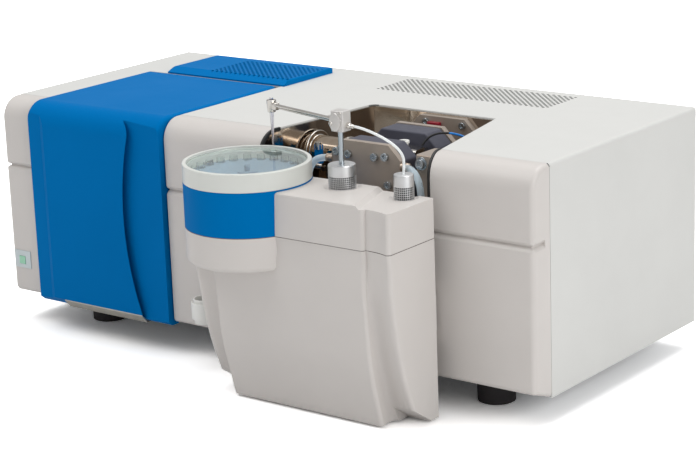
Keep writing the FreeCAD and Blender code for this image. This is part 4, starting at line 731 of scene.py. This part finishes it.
class SPECTROMETER_OT_sampler(Operator):
    """Dress the sampler, its bowl and its knurled bosses"""

    bl_idname = "spectrometer.sampler"
    bl_label = "Sampler"

    def execute(self, context):
        settings = context.scene.spectrometer.sampler
        dress("sampler_body", "shell_grey", 1.0 * MM, angle=40, smooth=32)
        self.paint_seam_shadow()
        dress("sampler_cover", "shell_grey", 2.0 * MM, angle=40, smooth=32,
              choose=self.off_the_dishes)
        dress("bowl_band", "door_blue", 0.4 * MM, angle=60)
        dress("lid_ring", "ring_white", 0.6 * MM, angle=50)
        dress("lid_glass", "clear_glass", 0.3 * MM, angle=60)
        dress("sample_tray", "tray_blue", 0.4 * MM, angle=60)
        dress("sample_vials", "vial_clear")
        dress("sampler_hinge", "shell_grey", 0.6 * MM, angle=50)
        dress("sampler_drives", "plain_zinc", 0.8 * MM)
        self.boss("lift_boss", ARM_AT, 273, 30, 16.5, 3.25, settings)
        self.boss("wash_boss", WASH_AT, 268, 31, SMALL_BOSS_RADIUS, 1.65, settings)
        return {"FINISHED"}

    def paint_seam_shadow(self):
        """A thin dark ring of painted shadow in the gap between the body and its cover, as wide as
        the body's rim.
        """
        low, rim_low, high, proud = 222.6 * MM, 222.9 * MM, 223.38 * MM, 0.06 * MM
        shell = merged("sampler_body")
        bmesh.ops.bisect_plane(
            shell, geom=shell.verts[:] + shell.edges[:] + shell.faces[:],
            plane_co=(0.0, 0.0, low), plane_no=(0.0, 0.0, 1.0), clear_inner=True)
        rim = [edge for edge in shell.edges if len(edge.link_faces) == 1]
        bmesh.ops.triangle_fill(shell, edges=rim, use_beauty=True)
        bmesh.ops.recalc_face_normals(shell, faces=shell.faces)
        shell.normal_update()
        for vert, out in [(vert, vert.normal.copy()) for vert in shell.verts]:
            vert.co += Vector((out.x, out.y, 0.0)) * proud
            if vert.co.z > rim_low:
                vert.co.z = high
        new_piece("cover_seam_shadow", shell, ["seam_painted_shadow"], "sampler")

    def off_the_dishes(self, edge):
        """Edges of the cover that lie clear of the two dished seats."""
        middle = (edge.verts[0].co + edge.verts[1].co) / 2
        seats = ((spot(*ARM_AT, 0), 26 * MM), (spot(*WASH_AT, 0), 19 * MM))
        return all((middle - seat).xy.length > reach for seat, reach in seats)

    def boss(self, name, at, low, tall, radius, bore, settings):
        """A turned boss with rows of dimples round its lower half, their floors given painted
        shade.
        """
        shell = bmesh.new()
        rows = settings.dimple_rows
        columns = round(settings.dimple_columns * radius / SMALL_BOSS_RADIUS)
        knurl_low, knurl_high = 1.6, tall * 0.55
        step = (knurl_high - knurl_low) / rows
        levels = [knurl_low + step * number for number in range(rows + 1)]
        outline = [(bore, 0.0), (radius - 0.8, 0.0), (radius, 0.9)]
        outline += [(radius, level) for level in levels]
        outline += [(radius, tall - 1.8), (radius - 0.5, tall - 0.5), (radius - 1.8, tall),
                    (bore + 1.2, tall), (bore + 0.9, tall - 0.5), (bore, tall - 1.5),
                    (bore, 0.0)]
        lathe(shell, outline, (0, 0, 0), "Z", columns)
        dimples = []
        for face in shell.faces:
            middle = face.calc_center_median()
            ring = math.hypot(middle.x, middle.y)
            if ring > (radius - 0.4) * MM and knurl_low * MM < middle.z < knurl_high * MM:
                dimples.append(face)
        bmesh.ops.inset_individual(shell, faces=dimples, thickness=0.36 * MM, depth=0.0)
        bmesh.ops.inset_individual(shell, faces=dimples, thickness=0.15 * MM, depth=-0.7 * MM)
        # The dimples' floors take the second finish, which is painted shade.
        for face in dimples:
            face.material_index = 1
        shift = Matrix.Translation(spot(at[0], at[1], low))
        bmesh.ops.transform(shell, matrix=shift, verts=shell.verts)
        node = "knurled_bosses"
        new_piece(name, shell, ["aluminium", "dimple_painted_shade"], "sampler", node, 30)


class SPECTROMETER_OT_arm(Operator):
    """Dress the dosing arm, its needle and the capillary"""

    bl_idname = "spectrometer.arm"
    bl_label = "Dosing arm"

    def execute(self, context):
        dress("lift_carriage", "aluminium", 0.6 * MM)
        dress("arm_shaft", "screw_steel", 0.4 * MM, angle=50)
        dress("arm_block", "satin_silver", 0.5 * MM, angle=40)
        dress("arm_rods", "bright_metal", 0.3 * MM, angle=50)
        dress("needle", "needle_clear")
        self.fittings()
        self.capillary(context.scene.spectrometer.sampler.capillary)
        return {"FINISHED"}

    def fittings(self):
        """The disc and clamp screws on the block, and the capillary's ferrule."""
        shell = bmesh.new()
        disc = [(0.0, 2.0), (8.2, 2.0), (9.2, 1.6), (9.6, 0.8), (9.6, 0.0), (0.0, 0.0)]
        mine = lathe(shell, disc, (0, 0, 0), "Y", 40)
        turn = Matrix.Rotation(math.pi, 4, "Z")
        tall = Matrix.Diagonal((0.82, 1.0, 1.16, 1.0))
        place = Matrix.Translation(spot(186.5, 430.0, 353.5)) @ turn @ tall
        bmesh.ops.transform(shell, matrix=place, verts=mine)
        new_piece("block_plate", shell, ["satin_silver"], "arm")
        shell = bmesh.new()
        ferrule = [(0.0, 0.0), (3.4, 0.0), (3.6, 0.4), (3.6, 4.2), (3.2, 4.8), (2.6, 5.2),
                   (2.6, 9.0), (2.2, 9.8), (1.65, 10.0), (1.65, 10.6), (0.0, 10.6)]
        mine = lathe(shell, ferrule, (0, 0, 0), "X", 28)
        lean = Matrix.Rotation(math.radians(8.0), 4, "Y")
        bmesh.ops.transform(
            shell, matrix=Matrix.Translation(spot(197.6, 421.3, PORT_HIGH)) @ lean, verts=mine)
        for x, deep, high, radius in ((181, 431.8, 352, 2.6), (194, 430, 365, 1.6)):
            mine = domed_screw(shell, (0, 0, 0), "Y", radius * MM)
            bmesh.ops.transform(
                shell, matrix=Matrix.Translation(spot(x, deep, high)) @ turn, verts=mine)
        new_piece("arm_fittings", shell, ["bright_metal"], "arm")

    def capillary(self, radius):
        """The white capillary from the arm's block down into the wash boss."""
        line = route([(198.5, 421.2, 349.6), (213, 420.2, 348.6), (230, 419, 344.6),
                      (248, 417.6, 338.6), (264, 416, 330), (272.6, 415, 320), (273.2, 415, 309),
                      (272, 415, 300), (272, 415, 288)])
        shell = tube_mesh("capillary", line, radius)
        mesh = bpy.data.meshes.new("capillary")
        shell.to_mesh(mesh)
        shell.free()
        mesh.materials.append(finish("tube_white"))
        mesh.shade_smooth()
        piece = bpy.data.objects.new("capillary", mesh)
        bpy.context.scene.collection.objects.link(piece)
        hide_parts("capillary_tube")
        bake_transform(piece)


class SPECTROMETER_OT_stage(Operator):
    """Set the floor, the lights and the camera"""

    bl_idname = "spectrometer.stage"
    bl_label = "Stage"

    def execute(self, context):
        stage = context.scene.spectrometer.stage
        context.scene.view_settings.view_transform = "Standard"
        self.floor(stage.floor)
        self.sky(stage.sky)
        self.lamp("key_light", (-1.2, -1.7, 3.4), (0.0, -0.1, 0.15), stage.key_power, 2.4)
        self.lamp("top_light", (0.1, 0.9, 3.0), (0.0, 0.1, 0.3), stage.top_power, 2.6)
        self.lamp("side_light", (3.2, -0.8, 1.5), (0.2, 0.0, 0.15), stage.fill_power, 1.8)
        self.camera()
        return {"FINISHED"}

    def floor(self, colour):
        """A floor that lights the part in its own colour and looks white to the camera."""
        mesh = bpy.data.meshes.new("floor")
        shell = bmesh.new()
        bmesh.ops.create_grid(shell, x_segments=1, y_segments=1, size=9.0)
        shell.to_mesh(mesh)
        shell.free()
        floor = bpy.data.objects.new("floor", mesh)
        bpy.context.scene.collection.objects.link(floor)
        made = Finish("floor_white", colour, 0.9)
        past_white = 1.75
        seen = made.tree.nodes.new("ShaderNodeBsdfDiffuse")
        seen.inputs["Color"].default_value = (past_white, past_white, past_white, 1.0)
        by_ray(made.tree, "Is Camera Ray", made.shader.outputs["BSDF"], seen.outputs["BSDF"],
               made.leave)
        mesh.materials.append(made.material)

    def sky(self, strength):
        """An even light from all round, behind which the camera sees white."""
        world = bpy.data.worlds.new("studio")
        bpy.context.scene.world = world
        world.use_nodes = True
        tree = world.node_tree
        tree.nodes.clear()
        leave = tree.nodes.new("ShaderNodeOutputWorld")
        made = []
        for power in (strength, 1.0):
            light = tree.nodes.new("ShaderNodeBackground")
            light.inputs["Color"].default_value = (1.0, 1.0, 1.0, 1.0)
            light.inputs["Strength"].default_value = power
            made.append(light.outputs["Background"])
        by_ray(tree, "Is Camera Ray", *made, leave)

    def lamp(self, name, place, target, power, size):
        """A round area light that shines from a place to a target."""
        light = bpy.data.lights.new(name, "AREA")
        light.energy = power
        light.shape = "DISK"
        light.size = size
        holder = bpy.data.objects.new(name, light)
        holder.location = place
        aim = Vector(target) - Vector(place)
        holder.rotation_euler = aim.to_track_quat("-Z", "Y").to_euler()
        bpy.context.scene.collection.objects.link(holder)

    def camera(self):
        """The camera stands where the photograph was taken from."""
        azimuth, elevation, roll = (math.radians(part) for part in (37.77, 15.33, -2.09))
        stands = Vector((1.684, -2.0861, 0.88))
        view = bpy.data.cameras.new("photo_camera")
        view.lens = 109.9
        view.sensor_width = 36.0
        view.clip_end = 60.0
        holder = bpy.data.objects.new("photo_camera", view)
        bpy.context.scene.collection.objects.link(holder)
        toward = Vector((math.sin(azimuth) * math.cos(elevation),
                         -math.cos(azimuth) * math.cos(elevation), math.sin(elevation)))
        right = Vector((math.cos(azimuth), math.sin(azimuth), 0.0))
        up = toward.cross(right)
        across = right * math.cos(roll) + up * math.sin(roll)
        upward = up * math.cos(roll) - right * math.sin(roll)
        turn = Matrix((across, upward, toward)).transposed().to_4x4()
        holder.matrix_world = Matrix.Translation(stands) @ turn
        bpy.context.scene.camera = holder


class SpectrometerSettings(PropertyGroup):
    cabinet: PointerProperty(type=CabinetSettings, name="Cabinet", description="Cabinet")
    bay: PointerProperty(type=BaySettings, name="Bay", description="Furnace bay")
    sampler: PointerProperty(type=SamplerSettings, name="Sampler", description="Sampler")
    stage: PointerProperty(type=StageSettings, name="Stage", description="Stage")


STEPS = (
    SPECTROMETER_OT_stage, SPECTROMETER_OT_finishes, SPECTROMETER_OT_cabinet,
    SPECTROMETER_OT_door, SPECTROMETER_OT_bay, SPECTROMETER_OT_lines, SPECTROMETER_OT_optics,
    SPECTROMETER_OT_sampler, SPECTROMETER_OT_arm,
)


class SPECTROMETER_PT_panel(Panel):
    """Lists the settings and the steps"""

    bl_idname = "SPECTROMETER_PT_panel"
    bl_label = "Spectrometer"
    bl_space_type = "VIEW_3D"
    bl_region_type = "UI"
    bl_category = "Spectrometer"

    def draw(self, context):
        settings = context.scene.spectrometer
        for name in ("cabinet", "bay", "sampler", "stage"):
            group = getattr(settings, name)
            box = self.layout.box()
            box.label(text=name.capitalize())
            for label in group.__annotations__:
                box.prop(group, label)
        for step in STEPS:
            self.layout.operator(step.bl_idname)


CLASSES = (
    CabinetSettings, BaySettings, SamplerSettings, StageSettings, SpectrometerSettings,
    *STEPS, SPECTROMETER_PT_panel,
)


def register():
    for one in CLASSES:
        bpy.utils.register_class(one)
    bpy.types.Scene.spectrometer = PointerProperty(type=SpectrometerSettings)


def unregister():
    del bpy.types.Scene.spectrometer
    for one in reversed(CLASSES):
        bpy.utils.unregister_class(one)


def main():
    register()
    for step in ("stage", "finishes", "cabinet", "door", "bay", "lines", "optics", "sampler",
                 "arm"):
        getattr(bpy.ops.spectrometer, step)()
    bpy.context.view_layer.update()


if __name__ == "__main__":
    main()
